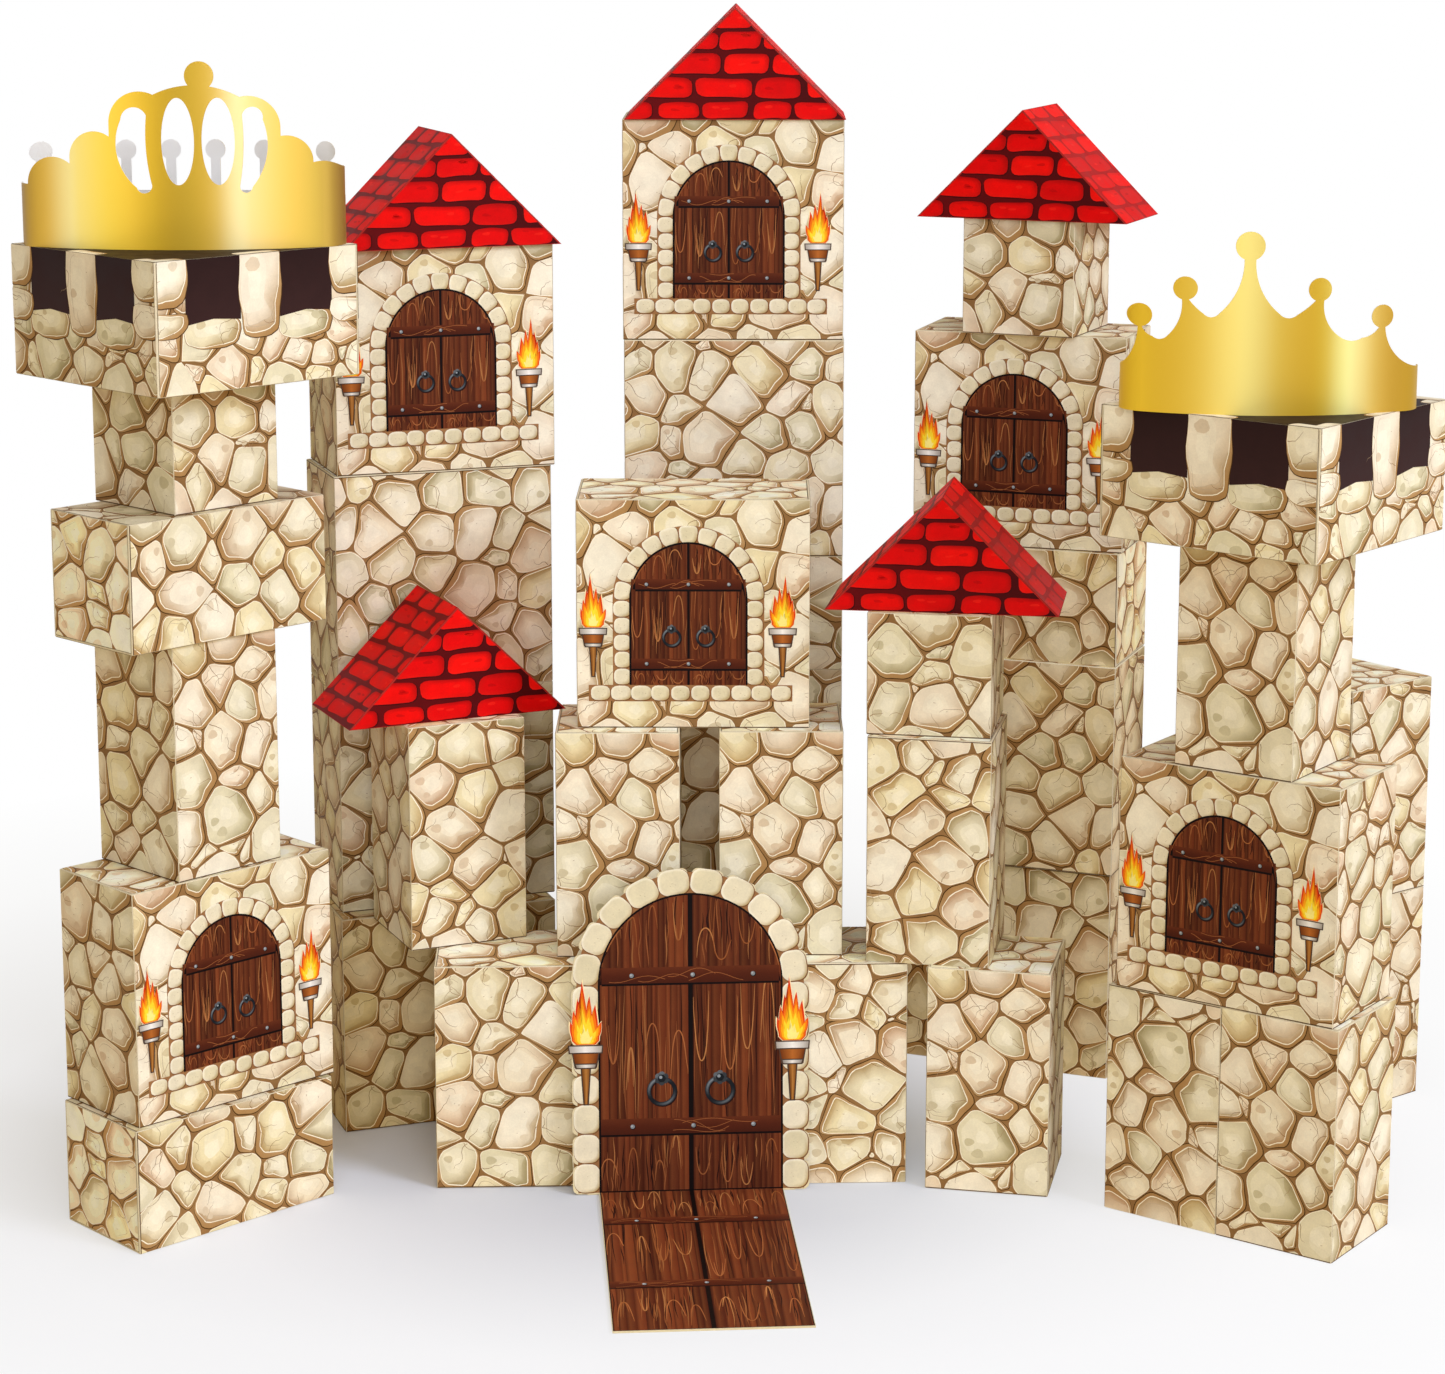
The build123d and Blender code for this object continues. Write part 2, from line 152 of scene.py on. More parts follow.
def inset(points, by, dx=0.0, dy=0.0):
    """The outline moved inwards by a length, or by what a function gives for each point, and then shifted."""
    cx, cy = middle(points)
    out = []
    for x, y in points:
        r = math.hypot(x - cx, y - cy) or 1.0
        f = max(0.15, (r - (by(x, y) if callable(by) else by)) / r)
        out.append((cx + (x - cx) * f + dx, cy + (y - cy) * f + dy))
    return out


def facing(x, y, cx, cy, turn, flat=1.0):
    """How far a point lies on the side of a direction, seen from a middle: from 0 to 1."""
    return 0.5 + 0.5 * math.cos(math.atan2((y - cy) * flat, x - cx) - turn)


def swell(low, rise, count):
    """Widths of a line that is thin at its ends and thick in its middle."""
    return [low + rise * math.sin(math.pi * k / (count - 1)) for k in range(count)]


def for_each(value, points):
    return value if isinstance(value, list) else [value] * len(points)


class Sheet:
    """Flat shapes in layers, drawn once and printed on every face of a kind."""

    def __init__(self, planes=()):
        self.planes = planes
        self.points, self.inks, self.faces = [], [], []

    def poly(self, points, z, colour):
        colours = for_each(colour, points)
        if any(nx * x + ny * y > c for nx, ny, c in self.planes for x, y in points):
            points, colours = clip(points, colours, self.planes)
            if not points:
                return
        first = len(self.points)
        self.points += [(x, y, z) for x, y in points]
        self.inks += colours
        self.faces.append(tuple(range(first, first + len(points))))

    def ring(self, outer, inner, z, outer_ink, inner_ink):
        a, b = for_each(outer_ink, outer), for_each(inner_ink, inner)
        for k in range(len(outer)):
            n = (k + 1) % len(outer)
            self.poly([outer[k], outer[n], inner[n], inner[k]], z, [a[k], a[n], b[n], b[k]])

    def stroke(self, points, widths, z, colour):
        """A line of changing width."""
        left, right = [], []
        for k, ((x, y), width) in enumerate(zip(points, for_each(widths, points))):
            x0, y0 = points[max(k - 1, 0)]
            x1, y1 = points[min(k + 1, len(points) - 1)]
            length = math.hypot(x1 - x0, y1 - y0) or 1.0
            nx, ny = -(y1 - y0) / length * width / 2, (x1 - x0) / length * width / 2
            left.append((x + nx, y + ny))
            right.append((x - nx, y - ny))
        for k in range(len(points) - 1):
            self.poly([right[k], right[k + 1], left[k + 1], left[k]], z, colour)

    def disc(self, x, y, radius, z, colour, sides):
        self.poly(circle(x, y, radius, sides), z, colour)

    def lighten(self, factor, most=math.inf):
        self.inks = [tuple(min(most, factor * part) for part in tone) for tone in self.inks]


# Stones

INK_BLACK, MORTAR, MORTAR_DARK, OUTLINE, OUTLINE_SOFT = inks("0e0605 9a7448 6b4a2a 6b4326 ae7f52")
LINE, LINE_SOFT, SIDE, SIDE_DARK, RIM, CRACK = inks("4a3014 8c683a d0b084 aa8250 fbf6e2 8f6a3f")
TINTS = inks("ece3c7 e8debb efe3cc e3dbba ebdabf ebdfb5 f2ead5 e5ddbf ebdec2")
SHADES = inks("b89d6c b39866 c0a27a a3966a be9670 b99a62 c4ac84 ab986c bc9972")
CELL_REACH = 30.0    # the furthest that a stone spreads from its seed


def cell(seed, others, gap):
    """The power cell of a seed among others, each (x, y, weight), pulled in by a gap."""
    x, y, weight = seed
    points = rectangle(x - CELL_REACH, y - CELL_REACH, x + CELL_REACH, y + CELL_REACH)
    for ox, oy, other_weight in others:
        dx, dy = ox - x, oy - y
        distance = math.hypot(dx, dy)
        if not 1e-6 <= distance <= 70:
            continue
        nx, ny = dx / distance, dy / distance
        reach = (distance * distance + weight - other_weight) / (2 * distance) - gap
        points, _ = clip(points, [()] * len(points), [(nx, ny, nx * x + ny * y + reach)])
        if not points:
            return []
    return points


def stone(sheet, points, rng, lift=0.0, tint=None, plain=False):
    """One printed stone: a drawn line, a brown side away from the light, a pale rim and a painted face."""
    if len(points) < 3:
        return
    kind = rng.randrange(len(TINTS)) if tint is None else tint
    light, shade = TINTS[kind], SHADES[kind]
    rough = []
    for p, q in zip(points, points[1:] + points[:1]):
        span = math.hypot(q[0] - p[0], q[1] - p[1])
        rough.append(p)
        if span > 7:
            push = max(-1.3, min(1.0, rng.uniform(-0.08, 0.06) * span))
            rough.append(((p[0] + q[0]) / 2 + (q[1] - p[1]) / span * push,
                          (p[1] + q[1]) / 2 - (q[0] - p[0]) / span * push))
    whole = thinned(rounded(rounded(rough, 1, rng.uniform(0.22, 0.34))))
    cx, cy = middle(whole)
    size = math.sqrt(sum((x - cx) ** 2 + (y - cy) ** 2 for x, y in whole) / len(whole))
    turn = -math.pi / 4 + rng.uniform(-0.6, 0.6)
    thick = min(1.0, size / 12) * rng.uniform(1.4, 4.0)

    def away(x, y):
        return facing(x, y, cx, cy, turn)

    def level(layer, step=0.0):
        return LAYER[layer] + step + lift

    sheet.poly(whole, level("outline"), [mix(LINE_SOFT, LINE, min(1.0, 1.3 * away(x, y))) for x, y in whole])
    side = inset(whole, lambda x, y: 0.14 + 0.6 * away(x, y) ** 2)
    sheet.poly(side, level("side"), [mix(SIDE, SIDE_DARK, away(x, y)) for x, y in side])
    soft = inset(whole, lambda x, y: 0.3 + 0.6 * away(x, y) ** 2 + thick * away(x, y) ** 2.2)
    sheet.poly(soft, level("rim"), mix(RIM, light, 0.1))
    outer = inset(thinned(soft, 0.28), lambda x, y: 0.35 + 0.3 * away(x, y))
    inner = inset(outer, lambda x, y: size * (0.2 + 0.32 * away(x, y)))
    outer_inks = [mix(light, shade, 0.05 + 0.95 * away(x, y) ** 2) for x, y in outer]
    sheet.ring(outer, inner, level("body"), outer_inks, light)
    sheet.poly(inner, level("body"), light)
    if size > 4.0:
        paint_face(sheet, soft, outer, (cx, cy), size, turn, (light, shade), rng, level)
    if not plain and size >= 4.5:
        crack_face(sheet, soft, (cx, cy), size, light, rng, level)


def paint_face(sheet, soft, outer, centre, size, turn, tones, rng, level):
    """What is painted on a stone's face: a shaded edge, facets, blots and a line along its shoulder."""
    (cx, cy), (light, shade) = centre, tones
    far_side = sorted((p for p in outer if facing(*p, cx, cy, turn) > 0.62),
                      key=lambda p: (math.atan2(p[1] - cy, p[0] - cx) - turn + math.pi) % (2 * math.pi))
    if len(far_side) > 3:
        deep = rng.uniform(0.14, 0.3) * size
        back = []
        for k, (x, y) in enumerate(far_side):
            depth = deep * rng.uniform(0.8, 1.1) * math.sin(math.pi * (k + 0.35) / (len(far_side) - 0.3))
            r = math.hypot(x - cx, y - cy) or 1.0
            back.append((x + (cx - x) / r * depth, y + (cy - y) / r * depth))
        edge_inks = [mix(shade, CRACK, 0.12)] * 2 + [mix(shade, light, 0.35)] * 2
        for k in range(len(far_side) - 1):
            strip = [far_side[k], far_side[k + 1], back[k + 1], back[k]]
            sheet.poly(strip, level("patch", -0.008), edge_inks)
        sheet.stroke(back, swell(0.08, 0.2, len(back)), level("patch", 0.008), mix(CRACK, light, 0.5))
    facets = [(rng.uniform(0.5, 0.68), 0.3), (rng.uniform(0.24, 0.4), 0.55)]
    for number, (share, amount) in enumerate(facets):
        shift = rng.uniform(-0.12, 0.12) * size
        slide = -0.14 * size
        base = scaled(soft, share, slide * math.cos(turn) + shift, slide * math.sin(turn) - shift * 0.5)
        facet = [(x + rng.uniform(-0.7, 0.7), y + rng.uniform(-0.7, 0.7)) for x, y in base[::3]]
        if len(facet) > 2:
            facet = thinned(rounded(facet, 1, 0.2))
            sheet.poly(facet, level("patch", 0.004 * number), mix(light, RIM, amount))
    for number in range(rng.choice((0, 1, 1, 2))):
        px, py = soft[rng.randrange(len(soft))]
        at, big = rng.uniform(0, 6.3), min(size, math.hypot(px - cx, py - cy))
        blot = [(cx + 0.6 * (px - cx) + big * 0.24 * f * math.cos(at + a),
                 cy + 0.6 * (py - cy) + big * 0.2 * f * math.sin(at + a))
                for a, f in ((0.0, 0.8), (1.1, 1.0), (2.2, 0.8), (3.3, 1.1), (4.3, 0.9), (5.3, 1.0))]
        sheet.poly(thinned(rounded(blot, 1)), level("patch", 0.012 + 0.002 * number), mix(light, shade, 0.4))
    if rng.random() < 0.6:
        shoulder = scaled(soft, rng.uniform(0.72, 0.86))
        first, count = rng.randrange(len(shoulder)), int(len(shoulder) * rng.uniform(0.25, 0.55))
        if count > 3:
            run = [shoulder[(first + k) % len(shoulder)] for k in range(count)]
            sheet.stroke(run, swell(0.08, 0.26, count), level("crack", -0.006), mix(CRACK, light, 0.4))


def crack_face(sheet, soft, centre, size, light, rng, level):
    """Cracks that wander in from a stone's edge, and a few short marks."""
    cx, cy = centre
    for number in range(rng.choice((2, 2, 3, 3, 4))):
        x, y = mix(centre, soft[rng.randrange(len(soft))], 0.97)
        heading = math.atan2(cy - y, cx - x) + rng.uniform(-0.6, 0.6)
        line = [(x, y)]
        for _ in range(rng.randint(4, 9)):
            heading += rng.uniform(-0.8, 0.8)
            x, y = polar(x, y, rng.uniform(1.4, 3.0), heading)
            if math.hypot(x - cx, y - cy) > size * 0.95:
                break
            line.append((x, y))
        if len(line) > 2:
            widths = [0.48 - 0.34 * k / (len(line) - 1) for k in range(len(line))]
            tone = mix(CRACK, light, rng.uniform(0.0, 0.3))
            sheet.stroke(line, widths, level("crack", 0.002 * number), tone)
    if rng.random() < 0.6:
        for number in range(rng.randint(1, 3)):
            angle, radius = rng.uniform(0, 6.3), rng.uniform(0.1, 0.5) * size
            x, y = polar(cx, cy, radius, angle)
            sheet.stroke([(x, y), (x + rng.uniform(0.6, 1.6), y + rng.uniform(-0.6, 0.6))], [0.5, 0.12],
                         level("crack", 0.008 + 0.002 * number), mix(CRACK, light, 0.35))


def stone_field(width, height, rng, spacing=30.0, wrap=False):
    """Outlines of a wall's stones, from seeds in rows that wander and small ones between them."""
    seeds = []
    rows = max(2, round((height + spacing) / (spacing * 0.84)))
    columns = max(2, round(width / (spacing * 1.02)))
    for row in range(rows + 1):
        for column in range(columns + (0 if wrap else 2)):
            x = (column + (0.5 if row % 2 else 0.0) - (0 if wrap else 0.5)) * width / columns
            y = (row - 0.35) * (height + spacing * 0.3) / rows
            seeds.append((x + rng.uniform(-0.3, 0.3) * spacing, y + rng.uniform(-0.28, 0.28) * spacing,
                          rng.uniform(-150, 190)))
    for _ in range(int(len(seeds) * 0.35)):
        a = rng.choice(seeds)
        near = sorted(seeds, key=lambda s: (s[0] - a[0]) ** 2 + (s[1] - a[1]) ** 2)
        if len(near) >= 3 and near[1][2] >= -140:
            seeds.append((*middle((a, near[1], near[2])), -150.0))
    if wrap:
        around = [(x + shift, y, w) for x, y, w in seeds for shift in (-width, 0, width)]
        seeds = [s for s in around if -spacing < s[0] < width + spacing]
    out = []
    for seed in seeds:
        points = cell(seed, seeds, rng.choice((0.02, 0.05, 0.1, 0.3)))
        if 0.5 * abs(sum(p[0] * q[1] - q[0] * p[1] for p, q in zip(points, points[1:] + points[:1]))) > 12:
            out.append(points)
    return out


def mortar_sheet(x0, y0, x1, y1):
    """A sheet cut off at a rectangle, with mortar ground in a grid so that its tone can drift."""
    sheet = Sheet(rectangle_planes(x0, y0, x1, y1))
    rng = random.Random(5)
    columns, rows = max(2, int((x1 - x0) / 20)), max(2, int((y1 - y0) / 20))
    tones = [[mix(MORTAR, MORTAR_DARK, rng.uniform(0, 0.45)) for _ in range(rows + 1)]
             for _ in range(columns + 1)]
    xs = [x0 + (x1 - x0) * i / columns for i in range(columns + 1)]
    ys = [y0 + (y1 - y0) * j / rows for j in range(rows + 1)]
    for i in range(columns):
        for j in range(rows):
            sheet.poly(rectangle(xs[i], ys[j], xs[i + 1], ys[j + 1]), LAYER["mortar"],
                       [tones[i][j], tones[i + 1][j], tones[i + 1][j + 1], tones[i][j + 1]])
    return sheet


def stone_random(seed, number):
    """One stone's own random draws, so that it looks the same on both sides of a fold."""
    return random.Random(seed * 1000 + number)


def lay_stones(sheet, seed, cells):
    for k, points in enumerate(cells):
        stone(sheet, points, stone_random(seed, k))


def sleeve_sheets(widths, height, seed, behind=None):
    """The prints of a carton's four panels, with stones that run on round the folds. Stones whose points are
    all behind something on the first panel are left out."""
    cells = stone_field(sum(widths), height, random.Random(seed), wrap=True)
    sheets, start = [], 0.0
    for width in widths:
        sheet = mortar_sheet(*within_folds(width, height))
        for k, points in enumerate(cells):
            moved = [(x - start, y) for x, y in points]
            if behind and start == 0.0 and all(behind(x, y) for x, y in moved):
                continue
            if max(p[0] for p in moved) > -2 and min(p[0] for p in moved) < width + 2:
                stone(sheet, moved, stone_random(seed, k))
        # A dark strip along each panel's foot: painted shade where a carton stands on another
        sheet.poly(rectangle(FOLD_EDGE, FOLD_EDGE, width - FOLD_EDGE, FOLD_EDGE + 0.55), LAYER["foot shade"],
                   mix(MORTAR_DARK, INK_BLACK, 0.35))
        sheets.append(sheet)
        start += width
    return sheets


def lid_sheet(width, depth, seed, fold_first):
    """The print of a lid: its fold is on one long side, and its other three sides are seams."""
    low, high = (FOLD_EDGE, LID_EDGE) if fold_first else (LID_EDGE, FOLD_EDGE)
    sheet = mortar_sheet(LID_EDGE, low, width - LID_EDGE, depth - high)
    lay_stones(sheet, seed, stone_field(width, depth, random.Random(seed)))
    # The lids' ink is lightened: painted light
    sheet.lighten(LID_PAINTED_LIGHT, 1.0)
    return sheet


def lid_set(width, depth, seed):
    """A top and a bottom lid for a fold at the back, and then for a fold at the front."""
    return [lid_sheet(width, depth, seed, False), lid_sheet(width, depth, seed + 1, True),
            lid_sheet(width, depth, seed, True), lid_sheet(width, depth, seed + 1, False)]


# Doors

WOOD = inks("42190d 542312 642c17 4a1d10 6f341b 5a2816")
GRAIN = inks("a8663a 96572e b87c48")
WOOD_DARK, BATTEN, BATTEN_LIGHT, IRON, IRON_LIGHT, NAIL = inks("230d09 4e2011 5f2c18 181b1f 8e979e a9b0b4")
DRESSED, DRESSED_DARK, DRESSED_EDGE, DRESSED_SIDE, DRESSED_MARK = inks("e9e0c6 ddd3b0 f8f3df b79d68 a58c5c")
PLANK_EDGE = 0.4     # how far drawn grain stays from its field's sides


def plank_field(sheet, x0, x1, y0, top_of, z, rng, scale):
    """Upright planks between two sides, up to a top line, with drawn grain."""
    x = x0
    while x < x1 - 0.3:
        width = min(rng.uniform(1.6, 5.2) * scale, x1 - x)
        tone = rng.choice(WOOD)
        steps = [x, x + width * 0.35, x + width]
        tones = [mix(tone, WOOD_DARK, 0.5), mix(tone, GRAIN[0], 0.16), tone]
        for k in range(2):
            a, b = steps[k], steps[k + 1]
            sheet.poly([(a, y0), (b, y0), (b, top_of(b)), (a, top_of(a))], z,
                       [tones[k], tones[k + 1], tones[k + 1], tones[k]])
        x += width
    height = max(top_of(x0), top_of(x1), top_of((x0 + x1) / 2)) - y0

    def inside(points):
        kept = [(min(max(px, x0 + PLANK_EDGE), x1 - PLANK_EDGE), py) for px, py in points]
        return [(px, min(max(py, y0 + PLANK_EDGE), top_of(px) - 0.6)) for px, py in kept]

    for number in range(max(5, int((x1 - x0) / 2.0))):
        # A long line of grain, nearly upright
        gx = rng.uniform(x0 + 0.8, x1 - 0.8)
        gy = y0 + rng.uniform(-0.1, 0.6) * height
        length = rng.uniform(0.3, 0.9) * height
        lean, phase = rng.uniform(-0.9, 0.9), rng.uniform(0, 6.3)
        line = [(gx + lean * t / 8 + 0.5 * math.sin(0.7 * t + phase), gy + length * t / 8) for t in range(9)]
        tone = WOOD_DARK if number % 3 == 0 else mix(rng.choice(GRAIN), WOOD[1], rng.uniform(0.3, 0.75))
        sheet.stroke(inside(line), swell(0.1, 0.5 * scale, 9), z + 0.004 + 0.0006 * number, tone)
    slots = max(2, int((x1 - x0) / (11.0 * scale)))
    for slot_no in range(slots):
        # One or two loops of grain, open at the top or at the foot
        gx = x0 + (x1 - x0) * (slot_no + rng.uniform(0.3, 0.7)) / slots
        gy = y0 + rng.uniform(0.04, 0.5) * height
        rise = rng.uniform(0.35, 0.6) * height
        spread = rng.uniform(2.0, 4.2) * scale
        way, upright = rng.choice((-1, 1)), rng.random() < 0.6
        for ring_no in range(rng.choice((1, 1, 1, 2))):
            s, r = spread * (1 - 0.5 * ring_no), rise * (1 - 0.4 * ring_no)
            loop = [(gx - s * 1.15, gy + r), (gx - s, gy + r * 0.45), (gx - s * 0.6, gy + 0.08 * r),
                    (gx + 0.1, gy - 0.02 * r), (gx + s * 0.6, gy + 0.12 * r), (gx + s, gy + r * 0.5),
                    (gx + s * 1.25, gy + r * rng.uniform(0.6, 1.0))]
            line = [(gx + way * (px - gx), py if upright else 2 * gy + rise - py)
                    for px, py in rounded(loop, closed=False)]
            sheet.stroke(inside(line), swell(0.14, 0.5 * scale, len(line)),
                         z + 0.02 + 0.0006 * (2 * slot_no + ring_no),
                         mix(rng.choice(GRAIN), WOOD[1], rng.uniform(0.0, 0.3)))


def batten(sheet, x0, x1, y0, y1, z, rng, nails, nail_radius):
    """A cross batten with its shadow line below, its grain and its nails."""
    sheet.poly(rectangle(x0, y0 - 1.3, x1, y0 + 0.1), z - 0.004, INK_BLACK)
    mid = (y0 + y1) / 2
    sheet.poly(rectangle(x0, y0, x1, mid), z, [mix(BATTEN, WOOD_DARK, 0.35)] * 2 + [BATTEN] * 2)
    sheet.poly(rectangle(x0, mid, x1, y1), z, [BATTEN] * 2 + [BATTEN_LIGHT] * 2)
    for _ in range(4):
        start = rng.uniform(x0, x0 + (x1 - x0) * 0.6)
        length = rng.uniform(0.2, 0.4) * (x1 - x0)
        base = rng.uniform(y0 + 0.8, y1 - 0.8)
        swing = min(y1 - base, base - y0) - 0.35
        line = [(start + length * t / 10, base + swing * math.sin(0.55 * t + start) * 0.8) for t in range(11)]
        line = [(px, py) for px, py in line if px < x1 - 0.3]
        if len(line) > 2:
            sheet.stroke(line, 0.34, z + 0.008, mix(GRAIN[0], BATTEN, 0.25))
    for nx in nails:
        sheet.disc(nx + 0.25, mid - 0.3, nail_radius * 1.2, z + 0.012, INK_BLACK, 12)
        sheet.disc(nx, mid, nail_radius, z + 0.016, mix(NAIL, IRON, 0.45), 12)
        sheet.disc(nx - nail_radius * 0.25, mid + nail_radius * 0.25, nail_radius * 0.5, z + 0.02, NAIL, 10)


def door_ring(sheet, x, y, radius, z):
    """An iron ring that hangs from a small lobed plate."""
    sides, half = 28, radius * 0.31 * 0.5
    shadow = [circle(x + 0.5, y - 0.7, radius + by, sides) for by in (half, -half)]
    sheet.ring(*shadow, z, WOOD_DARK, WOOD_DARK)
    outer, core, inner = (circle(x, y, radius + by, sides) for by in (half, 0.0, -half))
    glow = []
    for k in range(sides):
        a = 2 * math.pi * k / sides
        shine = 0.8 * max(0.0, math.cos(a - 2.2)) ** 2 + 0.45 * max(0.0, math.cos(a + 1.0)) ** 4
        glow.append(mix(IRON, IRON_LIGHT, shine))
    sheet.ring(outer, core, z + 0.008, IRON, glow)
    sheet.ring(core, inner, z + 0.008, glow, IRON)
    top = y + radius
    for k in range(6):
        lobe = polar(x, top, radius * 0.32, math.pi * k / 3 + 0.5)
        sheet.disc(*lobe, radius * 0.24, z + 0.014, mix(IRON, IRON_LIGHT, 0.42 if k in (1, 2) else 0.12), 9)
    sheet.disc(x, top, radius * 0.3, z + 0.018, IRON, 12)
    sheet.disc(x - radius * 0.08, top + radius * 0.09, radius * 0.13, z + 0.022, IRON_LIGHT, 9)


def arch_door(sheet, cx, foot, half, spring, z, seed, battens, ring, line, nails):
    """A double door under a round arch: planks, two battens, nails, rings and the line between the leaves."""
    rng = random.Random(seed)
    lower, upper = battens
    ring_x, ring_y, ring_radius = ring
    scale = 1 + (half / 37.0 - 1) * 0.45

    def under(level):
        """The lower of a level and the arch, as a function of x."""
        return lambda x: min(level, spring + math.sqrt(max(0.0, half * half - (x - cx) ** 2)))

    edge = half + 1.3
    sheet.poly([(cx - edge, foot), (cx + edge, foot)] + half_circle(cx, spring, edge), z - 0.02, INK_BLACK)
    for x0, x1 in ((cx - half, cx - line / 2), (cx + line / 2, cx + half)):
        for low, high in ((foot, lower[0]), (lower[1], upper[0]), (upper[1], math.inf)):
            plank_field(sheet, x0, x1, low, under(high), z, rng, scale)
    for low, high in battens:
        reach = min(half, math.sqrt(max(0.0, half * half - max(0.0, high - spring) ** 2)))
        batten(sheet, cx - reach, cx + reach, low, high, z + 0.03, rng, [cx + n for n in nails], 1.15 * scale)
    for side in (-1, 1):
        door_ring(sheet, cx + side * ring_x, ring_y, ring_radius, z + 0.06)


def dressed(sheet, points, rng, z):
    """A dressed stone: soft corners, brown line, pale face, small marks."""
    soft = thinned(rounded(points, 3, 0.22))
    cx, cy = middle(soft)
    light = mix(DRESSED, DRESSED_DARK, rng.random())
    sheet.poly(inset(soft, -0.4, 0.3, -0.35), z, mix(OUTLINE, OUTLINE_SOFT, 0.15))
    outer_inks = [mix(DRESSED_EDGE, DRESSED_SIDE, 0.05 + 0.95 * facing(x, y, cx, cy, -math.pi / 4) ** 2)
                  for x, y in soft]
    inner = inset(soft, 2.3, -0.2, 0.3)
    sheet.ring(soft, inner, z + 0.012, outer_inks, light)
    sheet.poly(inner, z + 0.012, light)
    for _ in range(rng.randint(2, 4)):
        x, y = cx + rng.uniform(-0.3, 0.3) * 9, cy + rng.uniform(-0.3, 0.3) * 9
        sheet.stroke([(x, y), (x + rng.uniform(0.3, 0.9), y + rng.uniform(-0.4, 0.4))], [0.4, 0.15], z + 0.02,
                     mix(light, DRESSED_MARK, 0.6))


# Torches

# Each flame's colour and its share of the full size, from the back to the front
FLAMES = tuple(zip(inks("f8e6b4 dc3c12 f47a18 ffae1a ffdc34 fff08c"), (1.05, 1.0, 0.9, 0.76, 0.6, 0.36)))
FLAME_TIP, TORCH_EDGE = inks("cf2c12 4b3a30")
TIPS = ((-0.96, 1.45), (-0.66, 2.55), (-0.22, 3.1), (0.16, 4.05), (0.52, 2.95), (0.7, 2.2), (0.98, 1.5))
VALLEYS = ((-0.86, 0.55), (-0.78, 1.15), (-0.42, 1.75), (-0.08, 2.2), (0.32, 2.1), (0.6, 1.7), (0.8, 1.15),
           (0.88, 0.55))
# A torch's stick, cup and two rims: half width and height at the foot, the same at the top, two tones
TORCH_PARTS = ((0.09, -3.75, 0.27, -1.15, "6b3c17 b57a3a"), (0.62, -1.35, 0.80, -0.45, "6d3413 b4682c"),
               (0.56, -1.42, 0.62, -1.22, "8d857c e9e4dc"), (0.98, -0.45, 1.02, -0.05, "a49c93 f6f3ee"))


def tongue(valley, tip, next_valley):
    """A flame's tongue as two bent lines that meet in its tip."""
    out = []
    for (x0, y0), (x1, y1), bulge, sag in ((valley, tip, -0.09, 0.3), (tip, next_valley, 0.11, 0.15)):
        bend = ((x0 + x1) / 2 + bulge, (y0 + y1) / 2 - sag * abs(y1 - y0))
        for t in (0.0, 0.2, 0.4, 0.6, 0.8):
            out.append(mix(mix((x0, y0), bend, t), mix(bend, (x1, y1), t), t))
    return out


def flame(cx, foot, unit, size, way, sway):
    """A flame's outline, of a given share of its full size."""
    points = [(-0.6, 0.0), (-0.84, 0.25)]
    for k, (x, y) in enumerate(TIPS):
        points += tongue(VALLEYS[k], (x + sway * (1 if k % 2 else -1), y), VALLEYS[k + 1])
    points += [VALLEYS[-1], (0.84, 0.25), (0.6, 0.0)]
    return [(cx + way * x * unit * size, foot + y * unit * size ** 1.15) for x, y in points]


def torch(sheet, cx, rim, unit, z, seed):
    """A torch: a flame over a pale rim, a cup and a tapering stick. unit is half its width."""
    way = 1 if seed % 2 else -1
    for number, (tone, size) in enumerate(FLAMES):
        outline = flame(cx, rim + 0.2 + number * 0.25, unit, size, way, 0.04 * number)[::-way]
        redder = [max(0.0, (y - rim) / (4.2 * unit) - 0.35) if number else 0.0 for x, y in outline]
        sheet.poly(outline, z + 0.01 * number, [mix(tone, FLAME_TIP, share) for share in redder])
    pad = 0.08 * unit
    for number, (w0, y0, w1, y1, tones) in enumerate(TORCH_PARTS):
        w0, y0, w1, y1 = w0 * unit, rim + y0 * unit, w1 * unit, rim + y1 * unit
        low, high = inks(tones)
        layer = z + 0.06 + 0.01 * number
        sheet.poly([(cx - w0 - pad, y0 - pad), (cx + w0 + pad, y0 - pad), (cx + w1 + pad, y1 + pad),
                    (cx - w1 - pad, y1 + pad)], layer - 0.004, TORCH_EDGE)
        sheet.poly([(cx - w0, y0), (cx, y0), (cx, y1), (cx - w1, y1)], layer, [low, high, high, low])
        sheet.poly([(cx, y0), (cx + w0, y0), (cx + w1, y1), (cx, y1)], layer, [high, low, low, high])


# Windows and battlements

WINDOW_X, WINDOW_FOOT, WINDOW_SPRING = 72.0, 28.6, 84.4
WINDOW_HALF, SURROUND = 36.8, 48.6           # the radii of the window's door and of the stones round it
SILL_LEFT, SILL_RIGHT, SILL_FOOT, SILL_TOP = 7.6, 139.0, 18.4, 28.2
ARCH_STONES, JAMB_STONES, SILL_STONES, STONE_GAP = 11, 5, 10, 0.7
EDGES = [share * LONG for share in (-0.05, 0.155, 0.395, 0.615, 0.85, 1.05)]
MERLONS = (EDGES[:2], EDGES[2:4], EDGES[4:])
GAPS = (EDGES[1:3], EDGES[3:5])              # a battlement's dark gaps, between its merlons
GAP_INK, GAP_INK_DARK, BATTLEMENT_TOP = inks("35201f 291716 241514")


def behind_window(x, y):
    """Whether the window print hides a point of the panel."""
    away = abs(x - WINDOW_X) if y < WINDOW_SPRING else math.hypot(x - WINDOW_X, y - WINDOW_SPRING)
    return y > WINDOW_FOOT and away < SURROUND - 1


